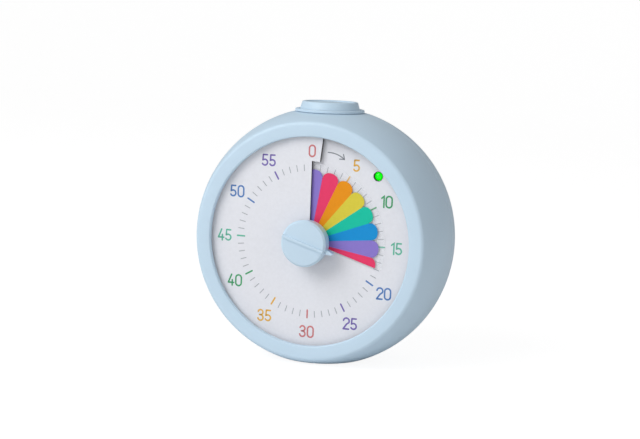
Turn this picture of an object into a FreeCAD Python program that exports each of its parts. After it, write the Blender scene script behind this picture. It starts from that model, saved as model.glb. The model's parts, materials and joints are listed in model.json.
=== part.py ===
"""Visual countdown timer: a barrel-shaped plastic casing with a helical dial, a clear
coloured disc that winds out through the dial's slit, a setting knob and a top button.

Frame: millimetres, +Z up, the dial faces -Y, +X is to the right as the dial is read.
The origin is the middle of the base flat, and y = 0 is the middle of the casing's depth.
Places written x, z below count from the dial axis; places along the depth count from y = 0.
"""
import FreeCAD, Part
import math
import os

import Sketcher

Vector = FreeCAD.Vector
document = FreeCAD.newDocument("CountdownTimer")
sheet = document.addObject("Spreadsheet::Sheet", "Sizes")

dimensions = {
    # Casing
    "casing_radius": 45.3,
    "casing_depth": 39.36,
    "base_cut": 2.3,
    "top_cut": 1.6,
    "shell_wall": 2.0,
    "ring_wall": 1.7,
    "ring_width": 4.9,
    "seam_place": 1.5,
    "rim_round": 1.6,
    "window_edge": 0.5,
    "lip_length": 2.5,
    "lip_wall": 1.0,
    # Clearances
    "fit_gap": 0.2,
    "run_gap": 0.3,
    "bearing_gap": 0.08,
    # Dial and disc
    "dial_depth": 3.68,
    "dial_overlap": 0.8,
    "dial_bore": 6.0,
    "dial_sheet": 0.6,
    "dial_stand": 1.2,
    "slit_step": 6.0,
    "peg_radius": 1.4,
    "peg_inset": 3.6,
    "disc_radius": 27.0,
    "disc_sheet": 0.3,
    "disc_lead": 107.0,
    "lamp_inset": 2.6,
    "lamp_angle": 44.4,
    "lamp_radius": 1.5,
    "lamp_flange": 0.3,
    "lamp_rim": 1.0,
    "leg_radius": 0.25,
    "leg_offset": 1.0,
    "spacer_radius": 2.0,
    # Knob and spindle
    "knob_radius": 8.0,
    "knob_stand": 4.22,
    "knob_length": 5.3,
    "knob_edge": 0.7,
    "knob_draft": 0.4,
    "fin_height": 0.6,
    "fin_width": 0.95,
    "nose_width": 1.4,
    "nose_drop": 1.2,
    "nose_depth": 2.4,
    "pointer_reach": 10.5,
    "pointer_shoulder": 9.0,
    "pointer_tip": 0.6,
    "socket_cover": 1.5,
    "spindle_radius": 2.0,
    "spindle_tip": 1.0,
    "bush_wall": 1.5,
    "bush_flange": 0.9,
    "hub_radius": 4.6,
    # Top button
    "button_place": -0.6,
    "button_radius": 10.45,
    "button_draft": 0.65,
    "button_height": 3.5,
    "button_dish": 0.5,
    "button_rim": 1.6,
    "button_wall": 1.4,
    "button_roof": 1.6,
    "button_travel": 1.0,
    "collar_wall": 0.6,
    "collar_height": 0.9,
    "post_radius": 2.0,
    "plunger_radius": 1.6,
    "plunger_stand": 2.1,
    "tact_side": 6.0,
    "tact_height": 3.8,
    "tact_board_width": 19.0,
    "tact_board_depth": 13.0,
    "shelf_sheet": 1.6,
    "shelf_rib": 1.4,
    "shelf_rib_height": 8.3,
    "shelf_rib_depth": 12.0,
    # Chassis and fasteners
    "chassis_plate": 1.6,
    "boss_radius": 1.9,
    "screw_radius": 1.1,
    "head_radius": 2.1,
    "head_height": 1.3,
    "slot_width": 0.5,
    "screw_bite": 2.2,
    "case_screw_bite": 7.0,
    "board_screw_bite": 6.0,
    "well_depth": 9.0,
    "pillar_radius": 3.0,
    "pillar_inset": 2.2,
    # Movement
    "gear_module": 0.4,
    "movement_wall": 1.0,
    "movement_clip": 3.0,
    "wheel_room": 1.0,
    "wheel_face": 1.0,
    "wheel_sheet": 0.8,
    "wheel_space": 0.7,
    "pinion_lap": 0.2,
    "magnet_length": 2.2,
    "magnet_radius": 2.4,
    "end_room": 1.4,
    "third_circle": 14.5,
    "rotor_circle": 18.0,
    "arbor_radius": 0.5,
    "rotor_arbor_radius": 0.3,
    "clutch_radius": 3.6,
    "clutch_sheet": 0.3,
    "clutch_rise": 0.5,
    "ring_radius": 3.4,
    "ring_sheet": 0.5,
    "cam_space": 1.2,
    "cam_radius": 4.0,
    "cam_width": 1.3,
    "coil_reach": 17.5,
    "coil_place": 5.2,
    "stator_sheet": 1.2,
    "core_width": 3.2,
    "stator_ring": 4.2,
    "core_top": 7.5,
    "bobbin_radius": 2.75,
    "bobbin_tube": 2.1,
    "bobbin_flange": 0.8,
    "winding_radius": 2.55,
    "leaf_reach": 8.0,
    "leaf_width": 0.7,
    "leaf_sheet": 0.3,
    "leaf_length": 10.0,
    "leaf_foot": 2.5,
    # Circuit board and what it carries
    "board_space": 5.6,
    "board_sheet": 1.2,
    "board_half": 28.0,
    "board_low": 3.0,
    "board_shoulder": 20.0,
    "board_high": 26.8,
    "board_clip": 6.5,
    "board_post_x": 24.0,
    "board_post_low": 6.5,
    "board_post_high": 20.0,
    "board_post_radius": 2.4,
    "buzzer_x": 12.0,
    "buzzer_z": 15.0,
    "buzzer_radius": 6.5,
    "buzzer_height": 6.5,
    "sound_radius": 0.8,
    "sound_pitch": 2.6,
    "switch_x": -18.0,
    "switch_z": 13.0,
    "switch_width": 13.0,
    "switch_height": 6.8,
    "switch_travel": 2.5,
    "slider_width": 4.0,
    "slider_height": 3.4,
    "slider_thick": 3.0,
    "grip_width": 3.2,
    "grip_height": 3.0,
    "chip_width": 7.0,
    "chip_thick": 1.6,
    "chip_height": 5.0,
    # Battery bay, cells and door
    "cell_radius": 5.2,
    "cell_length": 44.0,
    "nub_length": 0.8,
    "nub_radius": 1.7,
    "cell_gap": 0.2,
    "bay_top": -3.4,
    "bay_end": 3.2,
    "bay_wall": 1.2,
    "door_sheet": 1.6,
    "door_rim": 1.6,
    "door_pin": 0.5,
    "door_pin_length": 0.8,
    "thumb_width": 12.0,
    "thumb_height": 2.4,
    "thumb_depth": 0.6,
    "plate_thick": 0.4,
    "plate_side": 8.4,
    "spring_radius": 3.2,
    "spring_wire": 0.35,
}
for row, (alias, amount) in enumerate(dimensions.items(), 1):
    sheet.set("A%d" % row, alias)
    sheet.set("B%d" % row, str(amount))
    sheet.setAlias("B%d" % row, alias)
document.recompute()

# A cutting tool reaches this far past the face that it opens
over = 1.0
# A fused piece reaches this far into the piece that carries it
sunk = 0.5


class Size:
    """A length or angle as both its value now and the expression that keeps it bound."""

    def __init__(self, text, value):
        self.text = text
        self.value = value

    def join(self, other, sign, value, swapped=False):
        other_text = other.text if isinstance(other, Size) else repr(other)
        pair = (other_text, self.text) if swapped else (self.text, other_text)
        return Size("(%s %s %s)" % (pair[0], sign, pair[1]), value)

    def __add__(self, other):
        return self.join(other, "+", self.value + number(other))

    def __radd__(self, other):
        return self.join(other, "+", number(other) + self.value, True)

    def __sub__(self, other):
        return self.join(other, "-", self.value - number(other))

    def __rsub__(self, other):
        return self.join(other, "-", number(other) - self.value, True)

    def __mul__(self, other):
        return self.join(other, "*", self.value * number(other))

    def __rmul__(self, other):
        return self.join(other, "*", number(other) * self.value, True)

    def __truediv__(self, other):
        return self.join(other, "/", self.value / number(other))

    def __neg__(self):
        return Size("(0 - %s)" % self.text, -self.value)


class Cells:
    """The sheet's cells by their aliases."""

    def __getattr__(self, name):
        return Size("Sizes." + name, dimensions[name])


size = Cells()


def number(thing):
    return thing.value if isinstance(thing, Size) else thing


def root(area):
    return Size("sqrt(%s)" % area.text, math.sqrt(area.value))


def polar(reach, degrees):
    """Place (x, z) at a distance from the dial axis, the angle clockwise from the top."""
    text = degrees.text if isinstance(degrees, Size) else repr(degrees)
    turn = math.radians(number(degrees))
    return reach * Size("sin(%s)" % text, math.sin(turn)), reach * Size("cos(%s)" % text, math.cos(turn))


# Places that several sub-parts share
axis_height = size.casing_radius - size.base_cut
top_flat = size.casing_radius - size.top_cut
half_depth = size.casing_depth / 2
rim_radius = root(size.casing_radius * size.casing_radius - half_depth * half_depth)
window_radius = rim_radius - size.ring_width
cavity_floor = axis_height - size.shell_wall
cavity_top = top_flat - size.shell_wall
cavity_back = half_depth - size.shell_wall
ring_under = size.ring_wall - half_depth

dial_radius = window_radius + size.dial_overlap
dial_front = size.dial_depth - half_depth
slit_radius = size.disc_radius + 2 * size.run_gap
sheet_pitch = size.dial_sheet + size.disc_sheet + 2 * size.run_gap
disc_front = dial_front - size.run_gap - size.disc_sheet
lamp_x, lamp_z = polar(window_radius - size.lamp_inset, size.lamp_angle)

boss_circle = dial_radius + size.run_gap + size.boss_radius
boss_places = [polar(boss_circle, angle) for angle in (20, 110, 200, 290)]
pillar_circle = window_radius - size.pillar_inset
pillar_places = [polar(pillar_circle, angle) for angle in (-26.3, 26.3, -158.6, 158.6)]
pillar_meet = size.seam_place - sunk

chassis_front = dial_front + size.dial_sheet + size.dial_stand
chassis_back = chassis_front + size.chassis_plate
knob_face = -half_depth - size.knob_stand
knob_back = knob_face + size.knob_length
fin_front = knob_face - size.fin_height
socket_end = knob_face + size.socket_cover

sleeve_radius = size.button_radius + size.run_gap + size.collar_wall
button_hole = sleeve_radius + size.fit_gap / 2


def barrel(place, inset=0):
    """Radius of the barrel, a zone of a sphere, less an inset, at a place along the depth."""
    ball = size.casing_radius - inset
    return root(ball * ball - place * place)


# Helpers that bind features to the sheet
def bind(thing, prop, amount):
    if isinstance(amount, Size):
        thing.setExpression(prop, amount.text)
    elif prop.startswith("Placement.Base."):
        base = thing.Placement.Base
        setattr(base, prop[-1], float(amount))
        thing.Placement.Base = base
    else:
        setattr(thing, prop, amount)


def put(thing, x=0, y=0, z=0):
    for axis, amount in (("x", x), ("y", y), ("z", z)):
        bind(thing, "Placement.Base." + axis, amount)
    return thing


def primitive(kind, name, sizes, place, turn=None):
    thing = document.addObject(kind, name)
    for prop, amount in sizes.items():
        bind(thing, prop, amount)
    if turn is not None:
        thing.Placement.Rotation = turn
    return put(thing, *place)


along_depth = FreeCAD.Rotation(Vector(1, 0, 0), -90)
along_width = FreeCAD.Rotation(Vector(0, 1, 0), 90)


def rod(name, x, z, front, back, radius):
    """Cylinder along the depth."""
    sizes = {"Radius": radius, "Height": back - front}
    return primitive("Part::Cylinder", name, sizes, (x, front, axis_height + z), along_depth)


def upright(name, x, y, low, high, radius):
    """Cylinder that stands upright between two heights from the dial axis."""
    sizes = {"Radius": radius, "Height": high - low}
    return primitive("Part::Cylinder", name, sizes, (x, y, axis_height + low))


def bar(name, left, right, y, z, radius):
    """Cylinder along the width."""
    sizes = {"Radius": radius, "Height": right - left}
    return primitive("Part::Cylinder", name, sizes, (left, y, axis_height + z), along_width)


def block(name, left, right, front, back, low, high):
    """Box between two places in each direction."""
    sizes = {"Length": right - left, "Width": back - front, "Height": high - low}
    return primitive("Part::Box", name, sizes, (left, front, axis_height + low))


def cut(name, base, *tools):
    tool = tools[0]
    if len(tools) > 1:
        tool = fuse(name + "_tools", *tools)
    result = document.addObject("Part::Cut", name)
    result.Base = base
    result.Tool = tool
    return result


def common(name, base, tool):
    result = document.addObject("Part::Common", name)
    result.Base = base
    result.Tool = tool
    return result


def fuse(name, *shapes):
    result = document.addObject("Part::MultiFuse", name)
    result.Shapes = list(shapes)
    return result


def group(name, *shapes):
    """Separate solids kept together in one node, as identical fasteners are."""
    result = document.addObject("Part::Compound", name)
    result.Links = list(shapes)
    return result


def sketch_on(body, name, role, offset=0):
    """Sketch on one of the body's own origin planes, moved along its normal."""
    sketch = body.newObject("Sketcher::SketchObject", name)
    plane = next(feature for feature in body.Origin.OriginFeatures if feature.Role == role)
    sketch.AttachmentSupport = [(plane, "")]
    sketch.MapMode = "FlatFace"
    if isinstance(offset, Size):
        sketch.setExpression("AttachmentOffset.Base.z", offset.text)
    return sketch


def nearest_end(sketch, side, place):
    """Which end of a side, 1 for its start and 2 for its end, lies at a place."""
    line = sketch.Geometry[side]
    return 1 if (line.StartPoint - place).Length < (line.EndPoint - place).Length else 2


def outline(sketch, points, arcs=()):
    """Closed outline whose corners are bound to the sheet; arcs lists the sides that turn
    about a centre on the second axis, as (side, height of the centre)."""
    places = [Vector(number(u), number(v), 0) for u, v in points]
    centres = dict(arcs)
    count = len(points)
    for side in range(count):
        first, last = places[side], places[(side + 1) % count]
        if side in centres:
            centre = Vector(0, number(centres[side]), 0)
            middle = centre + ((first + last) / 2 - centre).normalize() * (first - centre).Length
            sketch.addGeometry(Part.Arc(first, middle, last), False)
        else:
            sketch.addGeometry(Part.LineSegment(first, last), False)
    for side in range(count):
        following = (side + 1) % count
        corner = places[following]
        end = nearest_end(sketch, side, corner)
        start = nearest_end(sketch, following, corner)
        sketch.addConstraint(Sketcher.Constraint("Coincident", side, end, following, start))
        for kind, amount in zip(("DistanceX", "DistanceY"), points[following]):
            fixed = sketch.addConstraint(Sketcher.Constraint(kind, -1, 1, side, end, number(amount)))
            if isinstance(amount, Size):
                sketch.setExpression("Constraints[%d]" % fixed, amount.text)
    for side in centres:
        sketch.addConstraint(Sketcher.Constraint("DistanceX", -1, 1, side, 3, 0))
    return sketch


def revolved(body, name, sketch):
    spin = body.newObject("PartDesign::Revolution", name)
    spin.Profile = sketch
    spin.ReferenceAxis = (sketch, ["V_Axis"])
    spin.Angle = 360
    return spin


def padded(body, name, sketch, length):
    pad = body.newObject("PartDesign::Pad", name)
    pad.Profile = sketch
    bind(pad, "Length", length)
    pad.Reversed = True
    return pad


def turned(name, points, arcs=(), x=0, z=0):
    """Body of revolution about the depth axis, from (radius, depth) corners."""
    body = document.addObject("PartDesign::Body", name)
    put(body, x, 0, axis_height + z)
    revolved(body, name + "_turn", outline(sketch_on(body, name + "_profile", "XY_Plane"), points, arcs))
    return body


def upright_turned(name, points, y):
    """Body of revolution about an upright axis, from (radius, height) corners."""
    body = document.addObject("PartDesign::Body", name)
    put(body, 0, y, axis_height)
    revolved(body, name + "_turn", outline(sketch_on(body, name + "_profile", "XZ_Plane"), points))
    return body


def slab(name, points, front, back):
    """Body padded along the depth from an outline of (x, z) corners."""
    body = document.addObject("PartDesign::Body", name)
    put(body, 0, 0, axis_height)
    padded(body, name + "_pad", outline(sketch_on(body, name + "_outline", "XZ_Plane", -front), points),
           back - front)
    return body


nodes = []


def node(name, thing):
    """Give a finished sub-part the name under which it is kept."""
    thing.Label = name
    nodes.append((name, thing))
    return thing


# Shells
def barrel_solid(name, front, back, inset, floor, ceiling, rounded=None):
    """Barrel between two places along the depth, flattened below and above; rounded is the
    end whose edge is rounded."""
    corners = [(0, front), (barrel(front, inset), front), (barrel(back, inset), back), (0, back)]
    solid = turned(name + "_barrel", corners, [(1, 0)])
    if rounded is not None:
        document.recompute()
        form = solid.Tip
        edges = ["Edge%d" % (index + 1) for index, edge in enumerate(form.Shape.Edges)
                 if abs(edge.CenterOfMass.y - number(rounded)) < 1e-4 and edge.Length > number(rim_radius)
                 and edge.Closed]
        fillet = solid.newObject("PartDesign::Fillet", name + "_round")
        fillet.Base = (form, edges)
        bind(fillet, "Radius", size.rim_round)
        solid.Tip = fillet
    half = size.casing_radius - inset
    keep = block(name + "_keep", -half, half, front, back, -floor, ceiling)
    return common(name + "_flattened", solid, keep)


def button_bore(name, extra=0):
    return upright(name, 0, size.button_place, cavity_top - 3 * size.shell_wall, top_flat + over,
                   button_hole + extra)


front_outer = barrel_solid("front_outer", -half_depth, size.seam_place, 0, axis_height, top_flat, -half_depth)
front_cavity = barrel_solid("front_cavity", ring_under, size.seam_place, size.shell_wall, cavity_floor,
                            cavity_top)
window_mouth = window_radius + size.window_edge
window = turned("window", [
    (0, -half_depth - over), (window_mouth, -half_depth - over), (window_mouth, -half_depth),
    (window_radius, size.window_edge - half_depth), (window_radius, ring_under + over),
    (0, ring_under + over)])
front_hollow = cut("front_hollow", front_outer, front_cavity, window, button_bore("front_button_bore"))
front_bosses = [rod("front_boss_%d" % i, x, z, ring_under - sunk, chassis_front, size.boss_radius)
                for i, (x, z) in enumerate(boss_places)]
boss_pilots = [rod("boss_pilot_%d" % i, x, z, ring_under + sunk, chassis_front + over, size.screw_radius)
               for i, (x, z) in enumerate(boss_places)]
front_shell = node("front_shell", cut("front_shell", fuse("front_bossed", front_hollow, *front_bosses),
                                      *boss_pilots))

# Battery bay: two cells one above the other, lying along X
movement_front_face = chassis_back
movement_plate_back = movement_front_face + size.movement_wall
wheel_front = movement_plate_back + size.wheel_room
second_front = wheel_front + size.wheel_face + size.wheel_space
third_front = second_front + size.wheel_sheet + size.wheel_space
magnet_front = third_front + size.wheel_sheet + 2 * size.pinion_lap
magnet_back = magnet_front + size.magnet_length
movement_inner_back = magnet_back + size.end_room
movement_back = movement_inner_back + size.movement_wall
board_front = movement_back + size.board_space
board_back = board_front + size.board_sheet

bay_half = size.cell_length / 2 + size.bay_end
bay_low = size.bay_top - 4 * (size.cell_radius + size.cell_gap)
bay_front = half_depth - size.door_sheet - 2 * size.cell_radius - 3 * size.cell_gap
board_posts_at = [(-size.board_post_x, size.board_post_low), (size.board_post_x, size.board_post_low),
                  (-size.board_post_x, size.board_post_high)]
door_half = bay_half + size.door_rim - size.fit_gap
door_low = bay_low - size.door_rim + size.fit_gap
door_high = size.bay_top + size.door_rim - size.fit_gap
door_front = half_depth - size.door_sheet
door_pin_y = half_depth - size.door_sheet / 2
door_pin_z = door_low + size.door_sheet / 2

rear_outer = barrel_solid("rear_outer", size.seam_place, half_depth, 0, axis_height, top_flat, half_depth)
rear_cavity = barrel_solid("rear_cavity", size.seam_place, cavity_back, size.shell_wall, cavity_floor,
                           cavity_top)
rear_hollow = cut("rear_hollow", rear_outer, rear_cavity, button_bore("rear_button_bore"))
lip_front = size.seam_place - size.lip_length
lip_back = size.seam_place + size.lip_length
lip_outer = barrel(size.seam_place, size.shell_wall) - size.fit_gap
lip_inner = lip_outer - size.lip_wall
lip_root = lip_outer + size.shell_wall / 2
lip_ring = turned("lip_ring", [
    (lip_inner, lip_front), (lip_outer, lip_front), (lip_outer, size.seam_place),
    (lip_root, size.seam_place), (lip_root, lip_back), (lip_inner, lip_back)])
lip_keep = block("lip_keep", -size.casing_radius, size.casing_radius, lip_front, lip_back,
                 size.fit_gap - cavity_floor, cavity_top - size.fit_gap)
lip = cut("lip", common("lip_flat", lip_ring, lip_keep), button_bore("lip_bore", size.lip_wall))
bay_box = block("bay_box", -bay_half - size.bay_wall, bay_half + size.bay_wall, bay_front - size.bay_wall,
                cavity_back + sunk, bay_low - size.bay_wall, size.bay_top + size.bay_wall)
pillars = [rod("rear_pillar_%d" % i, x, z, pillar_meet, cavity_back + sunk, size.pillar_radius)
           for i, (x, z) in enumerate(pillar_places)]
board_posts = [rod("board_post_%d" % i, x, z, board_back, cavity_back + sunk, size.board_post_radius)
               for i, (x, z) in enumerate(board_posts_at)]
rear_solid = fuse("rear_solid", rear_hollow, lip, bay_box, *pillars, *board_posts)
rear_openings = [rod("pillar_bore_%d" % i, x, z, pillar_meet - over, half_depth + over,
                     size.screw_radius + size.fit_gap) for i, (x, z) in enumerate(pillar_places)]
rear_openings += [rod("screw_well_%d" % i, x, z, half_depth - size.well_depth, half_depth + over,
                      size.head_radius + size.run_gap) for i, (x, z) in enumerate(pillar_places)]
rear_openings += [rod("post_pilot_%d" % i, x, z, board_back - over, board_back + size.board_screw_bite,
                      size.screw_radius) for i, (x, z) in enumerate(board_posts_at)]
rear_openings.append(block("bay_room", -bay_half, bay_half, bay_front, half_depth + over, bay_low,
                           size.bay_top))
rear_openings.append(block("door_pocket", -bay_half - size.door_rim, bay_half + size.door_rim, door_front,
                           half_depth + over, bay_low - size.door_rim, size.bay_top + size.door_rim))
pin_reach = door_half + size.door_pin_length + size.fit_gap
rear_openings.append(bar("door_pin_socket", -pin_reach, pin_reach, door_pin_y, door_pin_z,
                         size.door_pin + size.bearing_gap))
slot_half = size.switch_travel + size.grip_width / 2 + size.run_gap + size.fit_gap
slot_reach = size.grip_height / 2 + size.run_gap
rear_openings.append(block("switch_slot", size.switch_x - slot_half, size.switch_x + slot_half,
                           cavity_back - over, half_depth + over, size.switch_z - slot_reach,
                           size.switch_z + slot_reach))
for ring, count in enumerate((1, 6, 12)):
    for step in range(count):
        across, up = polar(ring * size.sound_pitch, 360 * step / count)
        rear_openings.append(rod("sound_hole_%d_%d" % (ring, step), size.buzzer_x + across,
                                 size.buzzer_z + up, cavity_back - over, half_depth + over,
                                 size.sound_radius))
rear_shell = node("rear_shell", cut("rear_shell", rear_solid, *rear_openings))

# Button group, stacked down from the flat under the button
collar_radius = button_hole + size.collar_wall
collar_top = top_flat + size.collar_height
collar_edge = size.collar_wall / 2
collar_foot = cavity_top - sunk
collar_bore = size.button_radius + size.run_gap
button_collar = node("button_collar", upright_turned("button_collar", [
    (collar_bore, collar_foot), (sleeve_radius, collar_foot), (sleeve_radius, top_flat),
    (collar_radius, top_flat), (collar_radius, collar_top - collar_edge),
    (collar_radius - collar_edge, collar_top), (collar_bore, collar_top)], size.button_place))
crown = top_flat + size.button_height
crown_radius = size.button_radius - size.button_draft
crown_edge = crown - size.button_dish
flange_top = collar_foot - size.fit_gap / 2
flange_low = flange_top - size.button_wall
skirt_inner = size.button_radius - size.button_wall
roof = crown_edge - size.button_roof
plunger_top = cavity_top
top_button = node("top_button", upright_turned("top_button", [
    (0, crown_edge), (crown_radius - size.button_rim, crown_edge),
    (crown_radius - size.button_rim + size.button_dish, crown), (crown_radius - size.button_dish, crown),
    (crown_radius, crown_edge), (size.button_radius, collar_top), (size.button_radius, flange_top),
    (button_hole, flange_top), (button_hole, flange_low), (skirt_inner, flange_low), (skirt_inner, roof),
    (size.post_radius, roof), (size.post_radius, plunger_top), (0, plunger_top)], size.button_place))
tact_top = plunger_top - size.plunger_stand
tact_low = tact_top - size.tact_height
plunger_low = tact_top - size.button_travel - size.fit_gap
tact_plunger = node("tact_plunger", upright("tact_plunger", 0, size.button_place, plunger_low, plunger_top,
                                            size.plunger_radius))
tact_half = size.tact_side / 2
tact_body = block("tact_block", -tact_half, tact_half, size.button_place - tact_half,
                  size.button_place + tact_half, tact_low, tact_top)
tact_bore = upright("tact_bore", 0, size.button_place, plunger_low - size.button_travel - size.run_gap,
                    tact_top + over, size.plunger_radius + size.run_gap)
tact_switch = node("tact_switch", cut("tact_switch", tact_body, tact_bore))
tact_board_half = size.tact_board_width / 2
tact_board_front = size.button_place - size.tact_board_depth / 2
tact_board_back = size.button_place + size.tact_board_depth / 2
tact_board_low = tact_low - size.board_sheet
button_board = node("button_board", block("button_board", -tact_board_half, tact_board_half,
                                          tact_board_front, tact_board_back, tact_board_low, tact_low))

# Chassis: the moulded plate that carries dial, movement, lamp and button board
chassis_disc = rod("chassis_disc", 0, 0, chassis_front, chassis_back,
                   boss_circle - size.boss_radius + sunk)
chassis_lugs = [rod("chassis_lug_%d" % i, x, z, chassis_front, chassis_back, size.boss_radius)
                for i, (x, z) in enumerate(boss_places)]
chassis_pillars = [rod("chassis_pillar_%d" % i, x, z, chassis_front, pillar_meet, size.pillar_radius)
                   for i, (x, z) in enumerate(pillar_places)]
shelf_low = tact_board_low - size.shelf_sheet
shelf = block("button_shelf", -tact_board_half, tact_board_half, chassis_back - sunk, tact_board_back,
              shelf_low, tact_board_low)
shelf_ribs = [block("shelf_rib_%d" % i, left, left + size.shelf_rib, chassis_back - sunk,
                    chassis_back + size.shelf_rib_depth, shelf_low - size.shelf_rib_height, shelf_low + sunk)
              for i, left in enumerate((-tact_board_half, tact_board_half - size.shelf_rib))]
chassis_solid = fuse("chassis_solid", chassis_disc, *chassis_lugs, *chassis_pillars, shelf, *shelf_ribs)
chassis_holes = [rod("lug_hole_%d" % i, x, z, chassis_front - over, chassis_back + over,
                     size.screw_radius + size.fit_gap) for i, (x, z) in enumerate(boss_places)]
chassis_holes += [rod("pillar_pilot_%d" % i, x, z, pillar_meet - size.case_screw_bite - over,
                      pillar_meet + over, size.screw_radius) for i, (x, z) in enumerate(pillar_places)]
bush_radius = size.spindle_radius + size.bush_wall
chassis_holes.append(rod("bush_hole", 0, 0, chassis_front - over, chassis_back + over,
                         bush_radius + size.bearing_gap))
chassis_holes.append(rod("lamp_hole", lamp_x, lamp_z, chassis_front - over, chassis_back + over,
                         size.lamp_radius + size.fit_gap))
chassis = node("chassis", cut("chassis", chassis_solid, *chassis_holes))


# Dial sheet and clear disc: one turn of the same screw surface
full_turn = 360
dial_step = 6
disc_step = 5


def screw_sheet(bands, front, thickness, step):
    """Solid sheet that follows a screw surface. Each band is (inner radius, outer radius,
    first angle, last angle), in degrees clockwise from zero as the dial is read; the front
    face lies at front - pitch * angle / 360. Bands that touch share their edge."""
    pitch = sheet_pitch.value
    faces = []

    def point(radius, angle, back):
        turn = math.radians(angle)
        return Vector(radius * math.sin(turn), front - pitch * angle / full_turn + back * thickness,
                      radius * math.cos(turn))

    def face(*corners):
        faces.append(Part.Face(Part.makePolygon(list(corners) + [corners[0]])))

    def touches(radius, angle, own):
        return any(band is not own and radius in band[:2] and band[2] <= angle < band[3] for band in bands)

    for band in bands:
        inner, outer, first, last = band
        for angle in range(first, last, step):
            following = angle + step
            for back in (0, 1):
                a, b = point(inner, angle, back), point(outer, angle, back)
                c, d = point(outer, following, back), point(inner, following, back)
                face(a, b, c)
                face(a, c, d)
            for radius in (inner, outer):
                if not touches(radius, angle, band):
                    face(point(radius, angle, 0), point(radius, following, 0),
                         point(radius, following, 1), point(radius, angle, 1))
        for angle in (first, last):
            face(point(inner, angle, 0), point(outer, angle, 0), point(outer, angle, 1),
                 point(inner, angle, 1))
    shell = Part.makeShell(faces)
    shell.sewShape()
    solid = Part.makeSolid(shell)
    if solid.Volume < 0:
        solid.reverse()
    return solid


def feature(name, shape):
    thing = document.addObject("Part::Feature", name)
    thing.Shape = shape
    return put(thing, 0, 0, axis_height)


# The slit's step is a whole number of the dial's facets
slit_angle = dial_step * round(size.slit_step.value / dial_step)
dial_form = feature("dial_form", screw_sheet([
    (size.dial_bore.value, slit_radius.value, 0, full_turn),
    (slit_radius.value, dial_radius.value, slit_angle, full_turn + slit_angle)],
    dial_front.value, size.dial_sheet.value, dial_step))
dial_pegs = []
for angle in (75, 165, 255, 345):
    peg_x, peg_z = polar(dial_radius - size.peg_inset, angle)
    peg_front = dial_front + size.dial_sheet / 2 - sheet_pitch * angle / full_turn
    dial_pegs.append(rod("dial_peg_%d" % angle, peg_x, peg_z, peg_front, chassis_front, size.peg_radius))
lamp_window = rod("lamp_window", lamp_x, lamp_z, dial_front - 2 * sheet_pitch, dial_front + sheet_pitch,
                  size.lamp_radius + size.fit_gap)
dial_plate = node("dial_plate", cut("dial_plate", fuse("dial_pegged", dial_form, *dial_pegs), lamp_window))

lead = round(size.disc_lead.value)
colour_disc = node("colour_disc", feature("colour_disc", screw_sheet([
    (size.hub_radius.value, size.disc_radius.value, lead - full_turn, lead)],
    disc_front.value, size.disc_sheet.value, disc_step)))
hub_lap = 0.05
hub_front = disc_front - sheet_pitch * size.disc_lead / full_turn - hub_lap
hub_back = hub_front + sheet_pitch + size.disc_sheet
hub_bore = size.spindle_radius + size.bearing_gap
disc_hub = node("disc_hub", turned("disc_hub", [
    (hub_bore, hub_front), (size.hub_radius, hub_front), (size.hub_radius, hub_back),
    (hub_bore, hub_back)]))


# Knob and spindle: a thin fin runs across the face, and the pointer's nose stands out below it
knob_body = document.addObject("PartDesign::Body", "knob")
knob_body.Placement.Rotation = FreeCAD.Rotation(Vector(0, 1, 0), size.disc_lead.value - 90)
put(knob_body, 0, 0, axis_height)
knob_profile = outline(sketch_on(knob_body, "knob_profile", "XY_Plane"), [
    (0, knob_face), (size.knob_radius - size.knob_edge, knob_face),
    (size.knob_radius, knob_face + size.knob_edge), (size.knob_radius - size.knob_draft, knob_back),
    (size.spindle_radius, knob_back), (size.spindle_radius, socket_end), (0, socket_end)])
revolved(knob_body, "knob_turn", knob_profile)
fin_end = size.knob_radius - size.knob_edge / 2
fin_half = size.fin_width / 2
fin_outline = outline(sketch_on(knob_body, "fin_outline", "XZ_Plane", -fin_front), [
    (-fin_end, -fin_half), (fin_end, -fin_half), (fin_end, fin_half), (-fin_end, fin_half)])
padded(knob_body, "fin", fin_outline, socket_end - size.fit_gap - fin_front)
nose_front = knob_face + size.nose_drop
nose_half = size.nose_width / 2
tip_half = size.pointer_tip / 2
nose_start = size.knob_radius - 2 * size.nose_width
nose_outline = outline(sketch_on(knob_body, "nose_outline", "XZ_Plane", -nose_front), [
    (nose_start, -nose_half), (size.pointer_shoulder, -nose_half), (size.pointer_reach, -tip_half),
    (size.pointer_reach, tip_half), (size.pointer_shoulder, nose_half), (nose_start, nose_half)])
padded(knob_body, "nose", nose_outline, size.nose_depth)
knob = node("knob", knob_body)

cam_front = wheel_front + size.wheel_face + 3 * size.clutch_sheet + size.cam_space
cam_back = cam_front + size.cam_width
spindle_shoulder = cam_back + size.wheel_sheet
spindle_end = movement_back - size.run_gap
spindle = node("spindle", turned("spindle", [
    (0, socket_end), (size.spindle_radius, socket_end), (size.spindle_radius, spindle_shoulder),
    (size.spindle_tip, spindle_shoulder), (size.spindle_tip, spindle_end), (0, spindle_end)]))
bush_front = chassis_front + size.fit_gap
bush_bore = size.spindle_radius + size.bearing_gap
bush_back = movement_plate_back + 2 * size.run_gap
flange_radius = bush_radius + size.bush_flange
spindle_bush = node("spindle_bush", turned("spindle_bush", [
    (bush_bore, bush_front), (bush_radius, bush_front), (bush_radius, movement_plate_back),
    (flange_radius, movement_plate_back), (flange_radius, bush_back), (bush_bore, bush_back)]))

# Movement: tooth counts of the spindle wheel, then of each arbor's pinion and wheel
spindle_teeth = 60
pinion_teeth = 10
second_teeth = 48
third_teeth = 40
rotor_teeth = 8
# Tooth proportions in modules, short enough to clear the neighbour's root
addendum = 0.85
dedendum = 1.15
foot_width = 0.95
tip_width = 0.42
tooth_root = 0.3
second_turn = 120


def centre_distance(first_teeth, second_wheel_teeth):
    return size.gear_module * (first_teeth + second_wheel_teeth) / 2


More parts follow.
